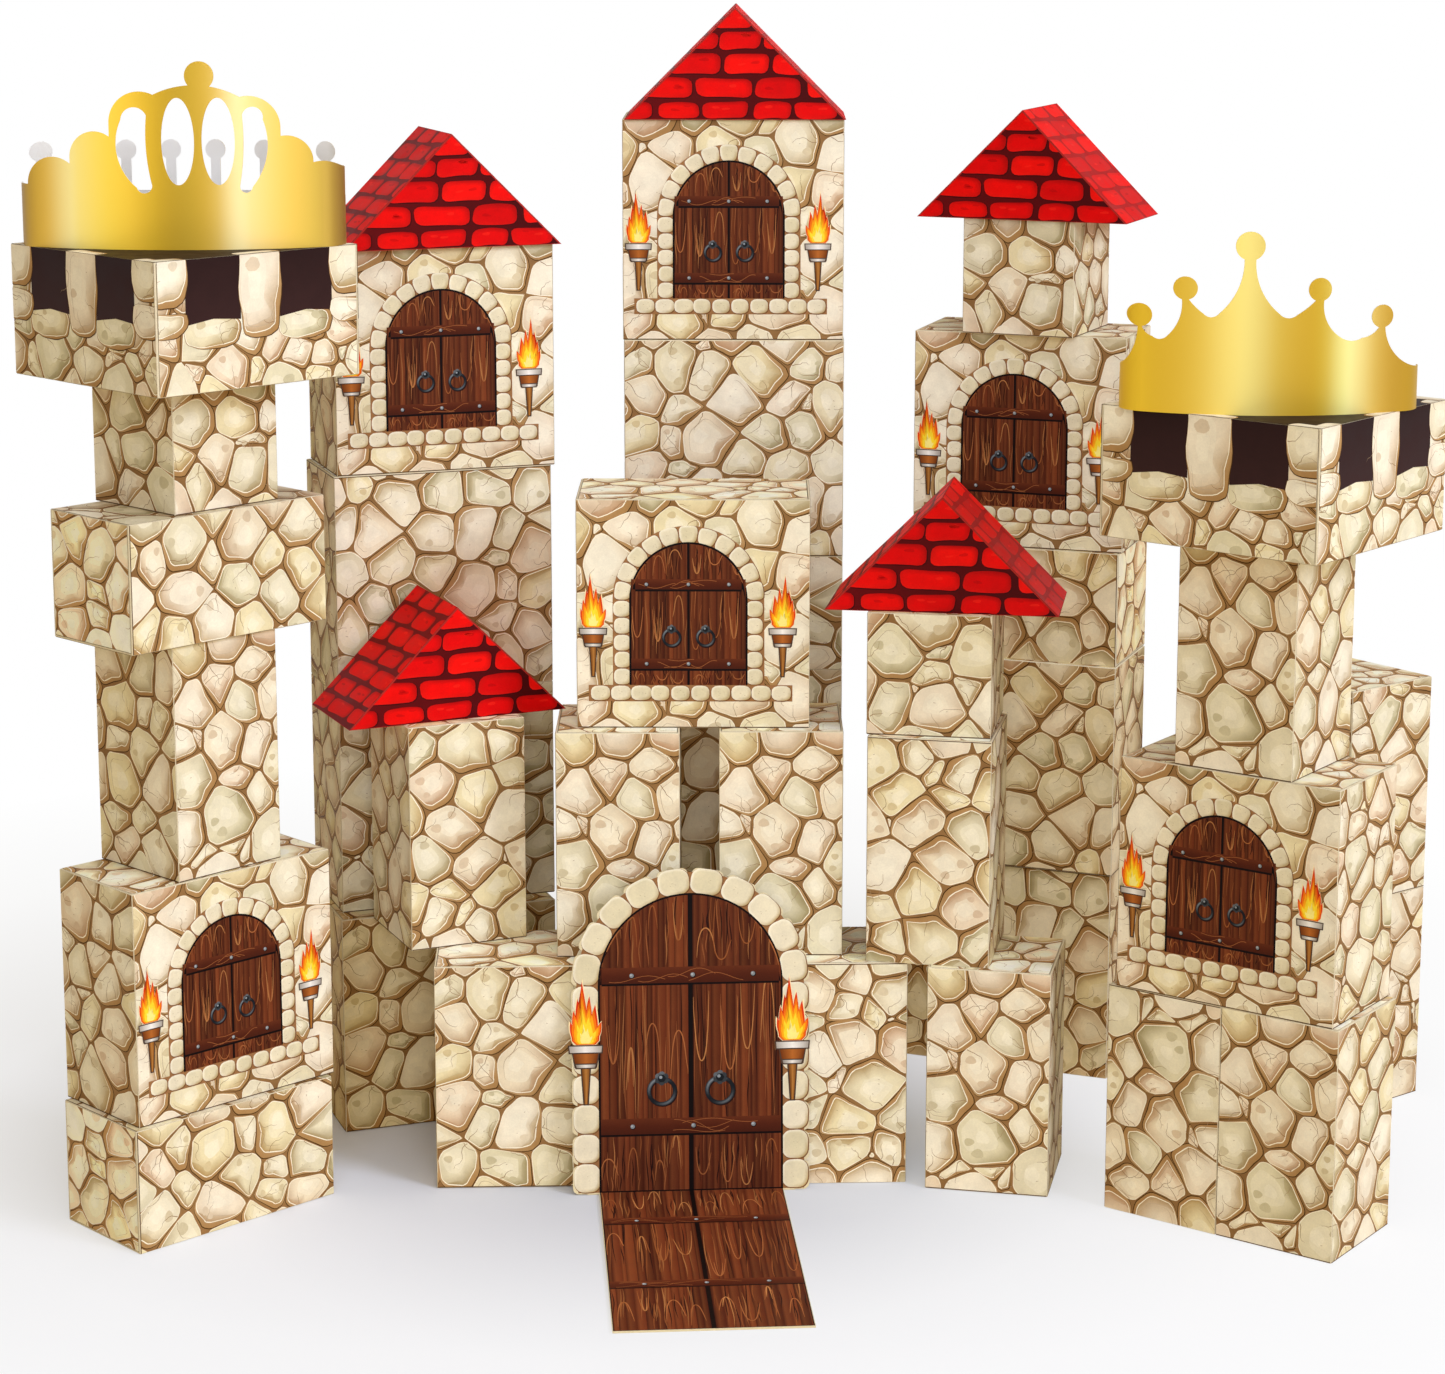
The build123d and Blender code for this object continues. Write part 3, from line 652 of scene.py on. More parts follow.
def window_stones():
    """The dressed stones round the window's arch and down its sides."""
    rng = random.Random(3)
    low = WINDOW_HALF + 0.4
    half_gap = STONE_GAP / (WINDOW_HALF + SURROUND)
    shapes = []
    for k in range(ARCH_STONES):
        a0 = math.pi * k / ARCH_STONES + half_gap
        a1 = math.pi * (k + 1) / ARCH_STONES - half_gap
        high = SURROUND - rng.uniform(0, 0.9)
        shapes.append([polar(WINDOW_X, WINDOW_SPRING, radius, angle) for radius, angle in (
            (low, a0), (high, a0), (high + 0.4, (a0 + a1) / 2), (high, a1), (low, a1))])
    step = (WINDOW_SPRING - WINDOW_FOOT) / JAMB_STONES
    for side in (-1, 1):
        for k in range(JAMB_STONES):
            foot = WINDOW_FOOT + k * step
            x0, x1 = sorted((WINDOW_X + side * low, WINDOW_X + side * (SURROUND - rng.uniform(0, 1.1))))
            shapes.append(rectangle(x0, foot + STONE_GAP / 2, x1, foot + step - STONE_GAP / 2))
    return shapes


def add_window(sheet):
    """The arched window print: a closed door in a dressed surround, a sill and two torches."""
    ground = mix(OUTLINE_SOFT, OUTLINE, 0.35)
    edge = SURROUND + 0.1
    foot = [(WINDOW_X - edge, WINDOW_FOOT - 0.4), (WINDOW_X + edge + 0.3, WINDOW_FOOT - 0.4)]
    sheet.poly(foot + half_circle(WINDOW_X, WINDOW_SPRING, edge), LAYER["surround"], ground)
    rng = random.Random(11)
    for points in window_stones():
        dressed(sheet, points, rng, LAYER["surround stones"])
    arch_door(sheet, WINDOW_X, WINDOW_FOOT, WINDOW_HALF, WINDOW_SPRING, LAYER["window door"], seed=21,
              battens=((39.3, 46.0), (91.5, 98.2)), ring=(10.9, 60.0, 5.4), line=1.5, nails=(-27, 0, 26))
    sill = rectangle(SILL_LEFT, SILL_FOOT - 0.6, SILL_RIGHT, SILL_TOP + 0.4)
    sheet.poly(sill, LAYER["sill ground"], ground)
    for number in range(SILL_STONES):
        x = SILL_LEFT + 1.0 + 12.95 * number
        right = x + rng.uniform(11.9, 13.9) - 0.4
        dressed(sheet, [(x + 0.4, SILL_FOOT), (right, SILL_FOOT + rng.uniform(-0.3, 0.3)), (right, SILL_TOP),
                        (x + 0.4, SILL_TOP + rng.uniform(-0.3, 0.3))], rng, LAYER["sill"])
    for x, seed in ((10.6, 4), (132.6, 9)):
        torch(sheet, x, 66.0, 8.4, LAYER["window torch"], seed)


def battlement_sheet(seed, edge):
    """A battlement's side: dark gaps between tall pale stones, over a stone wall."""
    sheet = mortar_sheet(edge, FOLD_EDGE, LONG - edge, UNIT - INKED_FOLD)
    lay_stones(sheet, seed, stone_field(LONG, UNIT * 0.62, random.Random(seed), spacing=26.0))
    gap_y = UNIT * 0.53
    rng = random.Random(seed + 3)
    for (x0, x1), tint in zip(GAPS, (1, 3)):
        # A wide stone under each gap
        a, b, foot = x0 - 4, x1 + 3, gap_y - rng.uniform(15, 18)
        wide = [(a + 2, foot + 4), (a + 12, foot + 0.5), (b - 14, foot), (b - 3, foot + 3), (b, gap_y - 5),
                (b - 3, gap_y + 1), ((a + b) / 2, gap_y + 3), (a + 4, gap_y + 2), (a, gap_y - 3)]
        stone(sheet, wide, rng, LAYER["gap stone"], tint)
    for x0, x1 in GAPS:
        a, b = x0 - 2, x1 + 2
        sheet.poly([(a, gap_y - 1.5), ((a + b) / 2, gap_y + 1.2), (b, gap_y - 0.5), (b, UNIT), (a, UNIT)],
                   LAYER["gap"], [GAP_INK] * 3 + [GAP_INK_DARK] * 2)
    for a, b in MERLONS:
        # One tall stone in the middle, and two stones one on the other at each side
        w, pieces = b - a, [(gap_y - 13, UNIT + 6)]
        if [a, b] != MERLONS[1]:
            cut = gap_y + rng.uniform(7, 13)
            pieces = [(gap_y - 9, cut - 0.6), (cut + 0.6, UNIT + 4)]
        for y0, y1 in pieces:
            mid = (y0 + y1) / 2
            points = [(a + 0.1 * w, y0 + 3), (a + 0.3 * w, y0), (b - 0.3 * w, y0), (b - 0.08 * w, y0 + 4),
                      (b + 0.02 * w, mid), (b - 0.04 * w, y1 - 1), (a + 0.05 * w, y1), (a - 0.01 * w, mid)]
            stone(sheet, points, rng, LAYER["merlon"], rng.choice((2, 6, 0)))
    return sheet


def battlement_top():
    """A battlement's top: dark, with the pale stones of its four sides folded on to it."""
    edges = (INKED_FOLD, INKED_FOLD, LONG - INKED_FOLD, LONG - INKED_FOLD)
    sheet = Sheet(rectangle_planes(*edges))
    sheet.poly(rectangle(*edges), LAYER["mortar"], BATTLEMENT_TOP)
    rng = random.Random(77)
    for side in range(4):
        for a, b in MERLONS:
            deep = 9.0 + rng.uniform(-1.0, 1.5)
            points = [(a + 0.4, -4.0), (b - 0.4, -4.0), (b - 0.6, deep - 2.5), (b - 3.5, deep),
                      (a + 3.5, deep + 0.3), (a + 0.6, deep - 2.5)]
            for _ in range(side):
                points = [(LONG - y, x) for x, y in points]
            lift = 0.0 if side % 2 else LAYER["folded stone"]
            stone(sheet, points, rng, lift, rng.choice((2, 6)), plain=True)
    return sheet


# Roofs

BRICK = inks("ec0806 de0507 f20e08 d40407 e80906")
BRICK_DARK, BRICK_LIGHT, ROOF_MORTAR, ROOF_MORTAR_DARK = inks("930206 ff2e1e 64080d 3f0508")
BRICK_LENGTH, BRICK_HEIGHT = 35.0, 15.6


def brick_sheet(width, height, planes, seed, slope=0.0, faint=0.0):
    """Red bricks in rows that run a little out of true, with thick dark joints, or fainter ones: faint
    lightens the joints and the bricks' dark edges, painted light on a lit slope.
    """
    sheet = Sheet(planes)
    joint_tones = [mix(tone, BRICK[1], faint) for tone in (ROOF_MORTAR, ROOF_MORTAR_DARK)]
    sheet.poly(rectangle(-1, -1, width + 1, height + 1), LAYER["mortar"], joint_tones * 2)
    rng = random.Random(seed)
    row, y = 0, 0.8
    while y < height + BRICK_HEIGHT:
        tall = BRICK_HEIGHT * rng.uniform(0.88, 1.1)
        x = -BRICK_LENGTH * (0.9 if row % 2 else 0.4) + rng.uniform(-4, 4)
        while x < width + 6:
            long = BRICK_LENGTH * rng.uniform(0.72, 1.18)
            joint = rng.uniform(2.2, 3.6)
            jitter = [rng.uniform(-1.6, 1.6) for _ in range(8)]
            right, top = x + long - joint, y + tall - 3.0
            points = [(x + jitter[0], y + jitter[1] * 0.6), (x + long / 2, y + jitter[4] * 0.7),
                      (right + jitter[2], y + jitter[3] * 0.6),
                      (right + jitter[4] * 1.3, top + jitter[5] * 0.7),
                      (x + long / 2, top + 0.3 + jitter[6] * 0.6),
                      (x + jitter[6] * 1.3, top + jitter[7] * 0.7)]
            soft = rounded([(px, py + slope * px) for px, py in points], 2, 0.2)
            cx, cy = middle(soft)
            tone = rng.choice(BRICK)
            edge = mix(tone, BRICK_LIGHT, 0.18)
            dark = [0.1 + 0.75 * (1 - facing(px, py, cx, cy, -2.2, 2.0)) for px, py in soft]
            outer = [mix(edge, BRICK_DARK, share * (1 - faint)) for share in dark]
            sheet.poly(inset(soft, -0.5, 0.3, -0.4), LAYER["outline"], joint_tones[1])
            inner = [(cx + (px - cx) * 0.72, cy + (py - cy) * 0.5) for px, py in soft]
            sheet.ring(soft, inner, LAYER["body"], outer, tone)
            sheet.poly(inner, LAYER["body"], tone)
            for _ in range(rng.choice((1, 2))):
                fx, fy = cx + rng.uniform(-0.3, 0.2) * long, cy + rng.uniform(-0.12, 0.2) * tall
                fleck = [(fx, fy), (fx + rng.uniform(3, 7), fy + rng.uniform(-0.5, 0.5)),
                         (fx + rng.uniform(2, 6), fy + rng.uniform(1.4, 2.8)),
                         (fx - 1, fy + rng.uniform(1.0, 2.2))]
                flecked = mix(tone, rng.choice((BRICK_LIGHT, BRICK_DARK)), 0.35)
                sheet.poly(rounded(fleck, 1), LAYER["patch"], flecked)
            x += long
        y += tall
        row += 1
    return sheet


# Faces and pieces

def change(thing, **settings):
    for name, value in settings.items():
        setattr(thing, name, value)


def add_object(name, data):
    made = bpy.data.objects.new(name, data)
    bpy.context.scene.collection.objects.link(made)
    return made


def place(prints, name, wash=(1.0, 1.0, 1.0)):
    """One mesh of all the prints of a piece. Each print is (sheet, corner, across, up), in metres."""
    points, tones, faces, first = [], [], [], 0
    for sheet, corner, across, up in prints:
        local = np.array(sheet.points) * MM
        points.append(corner + local @ np.array((across, up, np.cross(across, up))))
        tones.append(np.array(sheet.inks))
        faces += [tuple(i + first for i in f) for f in sheet.faces]
        first += len(sheet.points)
    mesh = bpy.data.meshes.new(name)
    mesh.from_pydata(np.concatenate(points).tolist(), [], faces)
    colours = np.ones((first, 4), np.float32)
    # wash scales the ink, and where it is below 1 it is painted shade
    colours[:, :3] = np.concatenate(tones) * np.array(wash)
    attribute = mesh.color_attributes.new("ink", "FLOAT_COLOR", "POINT")
    attribute.data.foreach_set("color", colours.ravel())
    mesh.materials.append(printed)
    mesh.update()
    piece = add_object(name, mesh)
    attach(piece, "root")


def give_material(name, made):
    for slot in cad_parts[name].material_slots:
        slot.material = made


def node_points(name):
    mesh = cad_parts[name].data
    points = np.zeros(len(mesh.vertices) * 3)
    mesh.vertices.foreach_get("co", points)
    return points.reshape(-1, 3)


def node_box(name, turned_right=False):
    """A carton's own box: its middle at the foot, its three directions and its three sizes in millimetres."""
    upright = [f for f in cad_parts[name].data.polygons if abs(f.normal.z) < 0.01]
    total = sum(f.area * complex(f.normal.x, f.normal.y) ** 4 for f in upright)
    points = node_points(name)
    wanted = math.pi / 4 if turned_right else 0
    tries = []
    for quarter in range(-2, 3):
        angle = math.atan2(total.imag, total.real) / 4 + quarter * math.pi / 2
        if abs(angle) >= math.pi / 2:
            continue
        ax = np.array((math.cos(angle), math.sin(angle), 0))
        ay = np.array((-math.sin(angle), math.cos(angle), 0))
        deeper = np.ptp(points @ ay) > np.ptp(points @ ax) + 0.01
        tries.append((deeper, abs(angle - wanted), ax, ay))
    _, _, ax, ay = min(tries, key=lambda found: found[:2])
    az = np.array((0.0, 0.0, 1.0))
    along = [points @ axis for axis in (ax, ay, az)]
    foot = ax * (along[0].min() + along[0].max()) / 2 + ay * (along[1].min() + along[1].max()) / 2
    return (foot + az * along[2].min(), ax, ay, az, *(np.ptp(part) / MM for part in along))


def carton_prints(end, ax, ay, az, width, depth, length, sleeve, lids, turn=(False, False)):
    """The six printed faces of a carton whose sleeve runs along az from the middle of its first end."""
    swap, upside = turn
    if upside:
        end, ax, az = end + az * length * MM, -ax, -az
    if swap:
        ax, ay = -ax, -ay
    w, d = ax * width * MM / 2, ay * depth * MM / 2
    top, bottom = lids[2:] if swap else lids[:2]
    return [(sleeve[0], end - w - d, ax, az), (sleeve[1], end + w - d, ay, az),
            (sleeve[2], end + w + d, -ax, az), (sleeve[3], end - w + d, -ay, az),
            (top, end - w - d + az * length * MM, ax, ay), (bottom, end - w + d, ax, -ay)]


def roof_prints(foot, ax, ay, az, width, depth, height):
    """The five printed faces of a roof: two gables, two slopes and its floor."""
    w, d = ax * width * MM / 2, ay * depth * MM / 2
    rise = az * height * MM
    side = np.linalg.norm(w + rise)
    return [(roof_end, foot - w - d, ax, az), (roof_back, foot + w + d, -ax, az),
            (roof_right, foot + w - d, ay, (rise - w) / side),
            (roof_left, foot - w + d, -ay, (w + rise) / side), (roof_floor, foot - w + d, ax, -ay)]


def outlines_only(sheet):
    """The same print without what is painted on its stones, for a face that another carton lies against."""
    if sheet not in plain_sheets:
        plain = plain_sheets[sheet] = Sheet()
        for face in sheet.faces:
            z = sheet.points[face[0]][2]
            if z < LAYER["body"] - 0.001:
                plain.poly([sheet.points[i][:2] for i in face], z, [sheet.inks[i] for i in face])
    return plain_sheets[sheet]


def covered(name, corner, across, up, out):
    """Whether one other carton or roof lies against the whole of a face."""
    near = [corner + across * u + up * v + out * 0.0015 for u in (0.04, 0.5, 0.96) for v in (0.04, 0.5, 0.96)]
    return any(other != name and all(abs((p - foot) @ ax) < sx * MM / 2 and abs((p - foot) @ ay) < sy * MM / 2
                                     and 0 < (p - foot) @ az < sz * MM for p in near)
               for other, (foot, ax, ay, az, sx, sy, sz) in boxes.items())


def plainer_where_hidden(name, prints):
    """Leaves out the face that stands on the floor, and what is painted on a covered face's stones."""
    out = []
    for sheet, corner, across, up in prints:
        way = np.cross(across, up)
        if way[2] < -0.9 and corner[2] < 0.001:
            continue
        width, height = (max(p[axis] for p in sheet.points) * MM for axis in (0, 1))
        hidden = covered(name, corner, across * width, up * height, way)
        out.append((outlines_only(sheet) if hidden else sheet, corner, across, up))
    return out


# Materials

class Tree:
    """A node tree with short calls for its nodes. Each call returns the new node's output socket."""

    def __init__(self, tree):
        self.nodes, self.links = tree.nodes, tree.links

    def fill(self, node, inputs):
        """Sets a node's inputs, each by a link where the value is a socket."""
        for key, value in inputs.items():
            if isinstance(value, bpy.types.NodeSocket):
                self.links.new(value, node.inputs[key])
            else:
                node.inputs[key].default_value = value

    def node(self, kind, inputs=None, output=0, **settings):
        made = self.nodes.new(kind)
        change(made, **settings)
        self.fill(made, inputs or {})
        return made.outputs[output]

    def math(self, operation, a, b):
        return self.node("ShaderNodeMath", {0: a, 1: b}, operation=operation)

    def noise(self, where, scale, detail=3.0, roughness=0.55):
        return self.node("ShaderNodeTexNoise", {
            "Vector": where, "Scale": scale, "Detail": detail, "Roughness": roughness}, "Fac")

    def ramp(self, source, a, b, low=0.3, high=0.7):
        return self.node("ShaderNodeMapRange", {
            "Value": source, "From Min": low, "From Max": high, "To Min": a, "To Max": b}, "Result")

    def blend(self, factor, a, b):
        """One colour to another. Sockets 6, 7 and 2 are the node's two colours and its result."""
        a, b = ((*tone, 1.0) if isinstance(tone, tuple) else tone for tone in (a, b))
        return self.node("ShaderNodeMix", {0: factor, 6: a, 7: b}, 2, data_type="RGBA")

    def colour_ramp(self, value, stops, interpolation="LINEAR"):
        made = self.nodes.new("ShaderNodeValToRGB")
        elements = made.color_ramp.elements
        made.color_ramp.interpolation = interpolation
        for at, tone in stops[1:-1]:
            elements.new(at)
        for element, (at, tone) in zip(elements, stops):
            change(element, position=at, color=(*tone, 1.0))
        self.fill(made, {"Fac": value})
        return made.outputs["Color"]

    def bump(self, height, strength, distance):
        return self.node("ShaderNodeBump", {
            "Height": height, "Strength": strength, "Distance": distance}, "Normal")

    def seen_or_mirrored(self):
        """1 for rays from the camera and off shiny surfaces, and 0 for the rays that carry light."""
        return self.math("MAXIMUM", self.node("ShaderNodeLightPath", {}, "Is Camera Ray"),
                         self.node("ShaderNodeLightPath", {}, "Is Glossy Ray"))


def material(name):
    """A new material, its tree, its shader and the object's own coordinates."""
    made = bpy.data.materials.new(name)
    made.use_nodes = True
    tree = Tree(made.node_tree)
    return made, tree, tree.nodes["Principled BSDF"], tree.node("ShaderNodeTexCoord", {}, "Object")


def make_printed():
    """Ink on coated card: the drawn colours, mottled a little, with paper grain and a soft sheen."""
    made, tree, shader, where = material("printed_card")
    drawn = tree.node("ShaderNodeVertexColor", {}, "Color", layer_name="ink")
    fine = tree.noise(where, 900.0, 2.0)
    broad = tree.noise(where, 75.0, 4.0, 0.6)
    mottle = tree.math("MULTIPLY", tree.ramp(broad, 0.9, 1.06), tree.ramp(fine, 0.96, 1.03))
    tree.fill(shader, {
        "Base Color": tree.node("ShaderNodeVectorMath", {0: drawn, "Scale": mottle}, operation="SCALE"),
        "Roughness": tree.ramp(broad, 0.5, 0.62), "Specular IOR Level": 0.07,
        "Normal": tree.bump(fine, 0.12, 0.0002)})
    return made


def make_card(name, base, dark):
    """Bare card: short fibres, a faint wash and a dry surface."""
    made, tree, shader, where = material(name)
    stretched = tree.node("ShaderNodeMapping", {"Vector": where, "Scale": (1.0, 1.0, 3.0)})
    fibres = tree.noise(stretched, 700.0, 5.0, 0.7)
    wash = tree.noise(where, 40.0)
    both = tree.blend(tree.ramp(fibres, 0.0, 0.7, 0.35, 0.75), ink(base), ink(dark))
    tree.fill(shader, {
        "Base Color": tree.blend(tree.ramp(wash, 0.0, 0.3, 0.35, 0.7), both, ink(dark)),
        "Roughness": tree.ramp(fibres, 0.72, 0.88), "Specular IOR Level": 0.25,
        "Normal": tree.bump(fibres, 0.25, 0.0003)})
    return made


def make_gold(name, node, places, tones):
    """Satin foil on the outside of a crown, with stripes of tone round it that are partly its print and
    partly painted reflections, light and dark, and white card inside.
    """
    made, tree, shader, where = material(name)
    low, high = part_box(node)
    across = tree.ramp(tree.node("ShaderNodeSeparateXYZ", {0: where}, "X"), 0.0, 1.0, low.x, high.x)
    # Tone along the crown: partly a printed gradient, partly painted reflections of the foil, light and dark
    print_and_painted_reflections = tree.colour_ramp(across, list(zip(places, inks(tones))), "B_SPLINE")
    # Which side of the band a point is on: its normal against the level way out from the crown's middle
    centre = ((low.x + high.x) / 2, (low.y + high.y) / 2, 0)
    outwards = tree.node("ShaderNodeVectorMath", {0: where, 1: centre}, operation="SUBTRACT")
    level = tree.node("ShaderNodeVectorMath", {0: outwards, 1: (1, 1, 0)}, operation="MULTIPLY")
    normal = tree.node("ShaderNodeNewGeometry", {}, "True Normal")
    side = tree.node("ShaderNodeVectorMath", {0: level, 1: normal}, "Value", operation="DOT_PRODUCT")
    outside = tree.ramp(side, 0.0, 1.0, 0.003, 0.006)
    grain = tree.noise(where, 1200.0, 2.0)
    tree.fill(shader, {
        "Base Color": tree.blend(outside, ink("#fbfbfa"), print_and_painted_reflections),
        "Metallic": tree.ramp(outside, 0.0, 0.45, 0.0, 1.0),
        "Roughness": tree.math(
            "MULTIPLY", tree.ramp(outside, 0.75, 0.45, 0.0, 1.0), tree.ramp(grain, 0.9, 1.1)),
        "Normal": tree.bump(grain, 0.06, 0.0002)})
    return made


printed = make_printed()
pale_card = make_card("pale_card", "#e9dfc4", "#cdbd97")
roof_card = make_card("roof_card", "#b52a22", "#8c1a16")
sheet_card = make_card("sheet_card", "#e6dbb8", "#cbbb90")
give_material("left_crown", make_gold(
    "gold_left", "left_crown",
    (0.0, 0.03, 0.1, 0.165, 0.2, 0.28, 0.36, 0.43, 0.49, 0.55, 0.63, 0.685, 0.73, 0.82, 0.9, 0.96, 1.0),
    "957028 c09b38 e6b632 ffefa4 ffe780 ffdd4a f8cb36 cea512 b5900b b29012 cba22a ecdda0 efd488 f0c553 "
    "d4b241 b59233 976f2c"))
give_material("right_crown", make_gold(
    "gold_right", "right_crown", (0.0, 0.1, 0.24, 0.36, 0.43, 0.5, 0.6, 0.665, 0.72, 0.76, 0.83, 0.92, 1.0),
    "f2c81e d3a81c d4ae2e e6d272 d4c068 c6a32e bd9414 c6a420 e6e08a e8da8c c79f33 aa8010 c09818"))


# The castle's prints. The last number of each is its seed

long_sleeve = sleeve_sheets((LONG, UNIT, LONG, UNIT), LONG, 101)
half_sleeve = sleeve_sheets((UNIT,) * 4, LONG, 202)
cube_sleeve = sleeve_sheets((UNIT,) * 4, UNIT, 303)
window_sleeve = sleeve_sheets((LONG, UNIT, LONG, UNIT), LONG, 404, behind_window)
add_window(window_sleeve[0])
long_lids = lid_set(LONG, UNIT, 501)
square_lids = lid_set(UNIT, UNIT, 601)
battlement_sides = [battlement_sheet(702, LID_EDGE), battlement_sheet(701, FOLD_EDGE)] * 2
battlement_ends = (battlement_top(), long_sleeve[2])

roof_side = math.hypot(LONG / 2, ROOF)
slant = math.sqrt(0.5)
end_planes = [(0, -1, -FOLD_EDGE), (slant, slant, LONG * slant - 1.0), (-slant, slant, -1.0)]
roof_end = brick_sheet(LONG, ROOF, end_planes, 811)
roof_back = brick_sheet(LONG, ROOF, end_planes, 821)
slope_planes = rectangle_planes(*within_folds(UNIT, roof_side))
# Both slopes have fainter joints and brick edges than the ends, the right one most: painted light on the
# slopes
roof_left = brick_sheet(UNIT, roof_side, slope_planes, 831, slope=0.05, faint=0.15)
roof_right = brick_sheet(UNIT, roof_side, slope_planes, 841, slope=-0.05, faint=0.5)
roof_floor = brick_sheet(LONG, UNIT, rectangle_planes(*within_folds(LONG, UNIT)), 851)

# Cartons that stand turned round, and those that stand upside down
SWAPPED = {"back_left_block_2", "keep_block_1", "gatehouse_block_right", "front_right_standing_block",
           "left_tower_lying_block", "far_right_block_1", "front_right_cube", "front_left_standing_block"}
UPSIDE_DOWN = {"back_left_block_3", "back_right_block_1", "gatehouse_block_right", "back_right_lying_block",
               "right_tower_base_block_left", "front_right_standing_block"}

# Cartons whose ink is darkened and browner: painted shade, for the shadow that the cartons in front of them
# cast
PAINTED_SHADE = {"back_right_block_1": (0.95, 0.88, 0.72), "back_right_block_2": (0.95, 0.88, 0.72),
        "back_right_lying_block": (0.97, 0.91, 0.78), "back_left_block_1": (0.89, 0.82, 0.65)}

plain_sheets = {}
boxes = {name: node_box(name, name.startswith("left_tower")) for name in sorted(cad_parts)
         if not name.endswith("_crown") and name != "gate_and_drawbridge"}

for name, box in boxes.items():
    foot, ax, ay, az, sx, sy, sz = box
    if name.endswith("_roof"):
        give_material(name, roof_card)
        place(roof_prints(*box), name + "_print")
        continue
    give_material(name, pale_card)
    turn = (name in SWAPPED, name in UPSIDE_DOWN)
    slot = "stone_card"
    if name.endswith("_battlement"):
        slot, prints = "battlement_card", carton_prints(*box, battlement_sides, battlement_ends)
    elif "window" in name:
        slot, prints = "window_card", carton_prints(*box, window_sleeve, long_lids, turn)
    elif sx > 100 and sz > 100:
        prints = carton_prints(*box, long_sleeve, long_lids, turn)
    elif sx > 100:
        end = foot - ax * sx * MM / 2 + az * sz * MM / 2
        prints = carton_prints(end, ay, az, ax, sy, sz, sx, half_sleeve, square_lids, turn)
    else:
        prints = carton_prints(*box, half_sleeve if sz > 100 else cube_sleeve, square_lids, turn)
    place(plainer_where_hidden(name, prints), name + "_print", PAINTED_SHADE.get(name, (1.0, 1.0, 1.0)))


# Gate and drawbridge: their faces are read off the sheet

give_material("gate_and_drawbridge", sheet_card)
gate_points = node_points("gate_and_drawbridge")
STANDING = 0.02      # what is higher than this, in metres, belongs to the gate and not to the drawbridge
gate_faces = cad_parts["gate_and_drawbridge"].data.polygons
upright = [f for f in gate_faces if f.normal.y < -0.9 and f.center.z > STANDING]
gate_out = sum((np.array(f.normal) * f.area for f in upright), np.zeros(3))
gate_out /= np.linalg.norm(gate_out)
gate_across = np.array((-gate_out[1], gate_out[0], 0.0))
gate_across /= np.linalg.norm(gate_across)
gate_up = np.cross(gate_out, gate_across)
standing = gate_points[gate_points[:, 2] > STANDING]
reach = standing @ gate_across
gate_corner = gate_across * (reach.min() + reach.max()) / 2 + gate_out * (standing @ gate_out).max()
gate_corner = gate_corner + gate_up * ((GATE_CARD * MM * gate_up[2] - gate_corner[2]) / gate_up[2])

GATE_HALF, DOOR_HALF, SPRING, JAMBS, ARCH = 77.0, 58.5, 138.0, 7, 10
GATE_STONE_IN, GATE_STONE_OUT, BACKING_HALF = DOOR_HALF + 0.6, GATE_HALF - 0.8, GATE_HALF - 3.4
gate_sheet = Sheet()
gate_sheet.poly([(-BACKING_HALF, 0.05), (BACKING_HALF, 0.05)] + half_circle(0.0, SPRING, BACKING_HALF),
                LAYER["mortar"], mix(OUTLINE_SOFT, OUTLINE, 0.45))
rng = random.Random(31)
step = SPRING / JAMBS
shapes = []
for side in (-1, 1):
    x0, x1 = sorted((side * GATE_STONE_IN, side * GATE_STONE_OUT))
    shapes += [rectangle(x0, k * step + 0.35, x1, (k + 1) * step - 0.35) for k in range(JAMBS)]
for k in range(ARCH):
    a0, a1 = math.pi * k / ARCH + 0.005, math.pi * (k + 1) / ARCH - 0.005
    a, wide = (a0 + a1) / 2, (GATE_HALF + DOOR_HALF) / 2 * math.tan((a1 - a0) / 2) - 0.2
    shapes.append([(far * math.cos(a) - along * math.sin(a), SPRING + far * math.sin(a) + along * math.cos(a))
                   for far, along in ((GATE_STONE_IN, -wide), (GATE_STONE_OUT, -wide),
                                      (GATE_STONE_OUT, wide), (GATE_STONE_IN, wide))])
for points in shapes:
    dressed(gate_sheet, points, rng, LAYER["gate stones"])
arch_door(gate_sheet, 0.0, 0.05, DOOR_HALF, SPRING, LAYER["gate door"], seed=41,
          battens=((38.5, 49.0), (138.7, 149.3)), ring=(18.9, 67.0, 8.5), line=3.0, nails=(-38, 1.5, 40.5))
gate_sheet.poly(rectangle(-DOOR_HALF, 0.05, DOOR_HALF, 0.9), LAYER["threshold"], INK_BLACK)
for x, seed in ((-68.0, 6), (66.0, 14)):
    torch(gate_sheet, x, 98.5, 10.4, LAYER["gate torch"], seed)
place([(gate_sheet, gate_corner, gate_across, gate_up)], "gate_print")

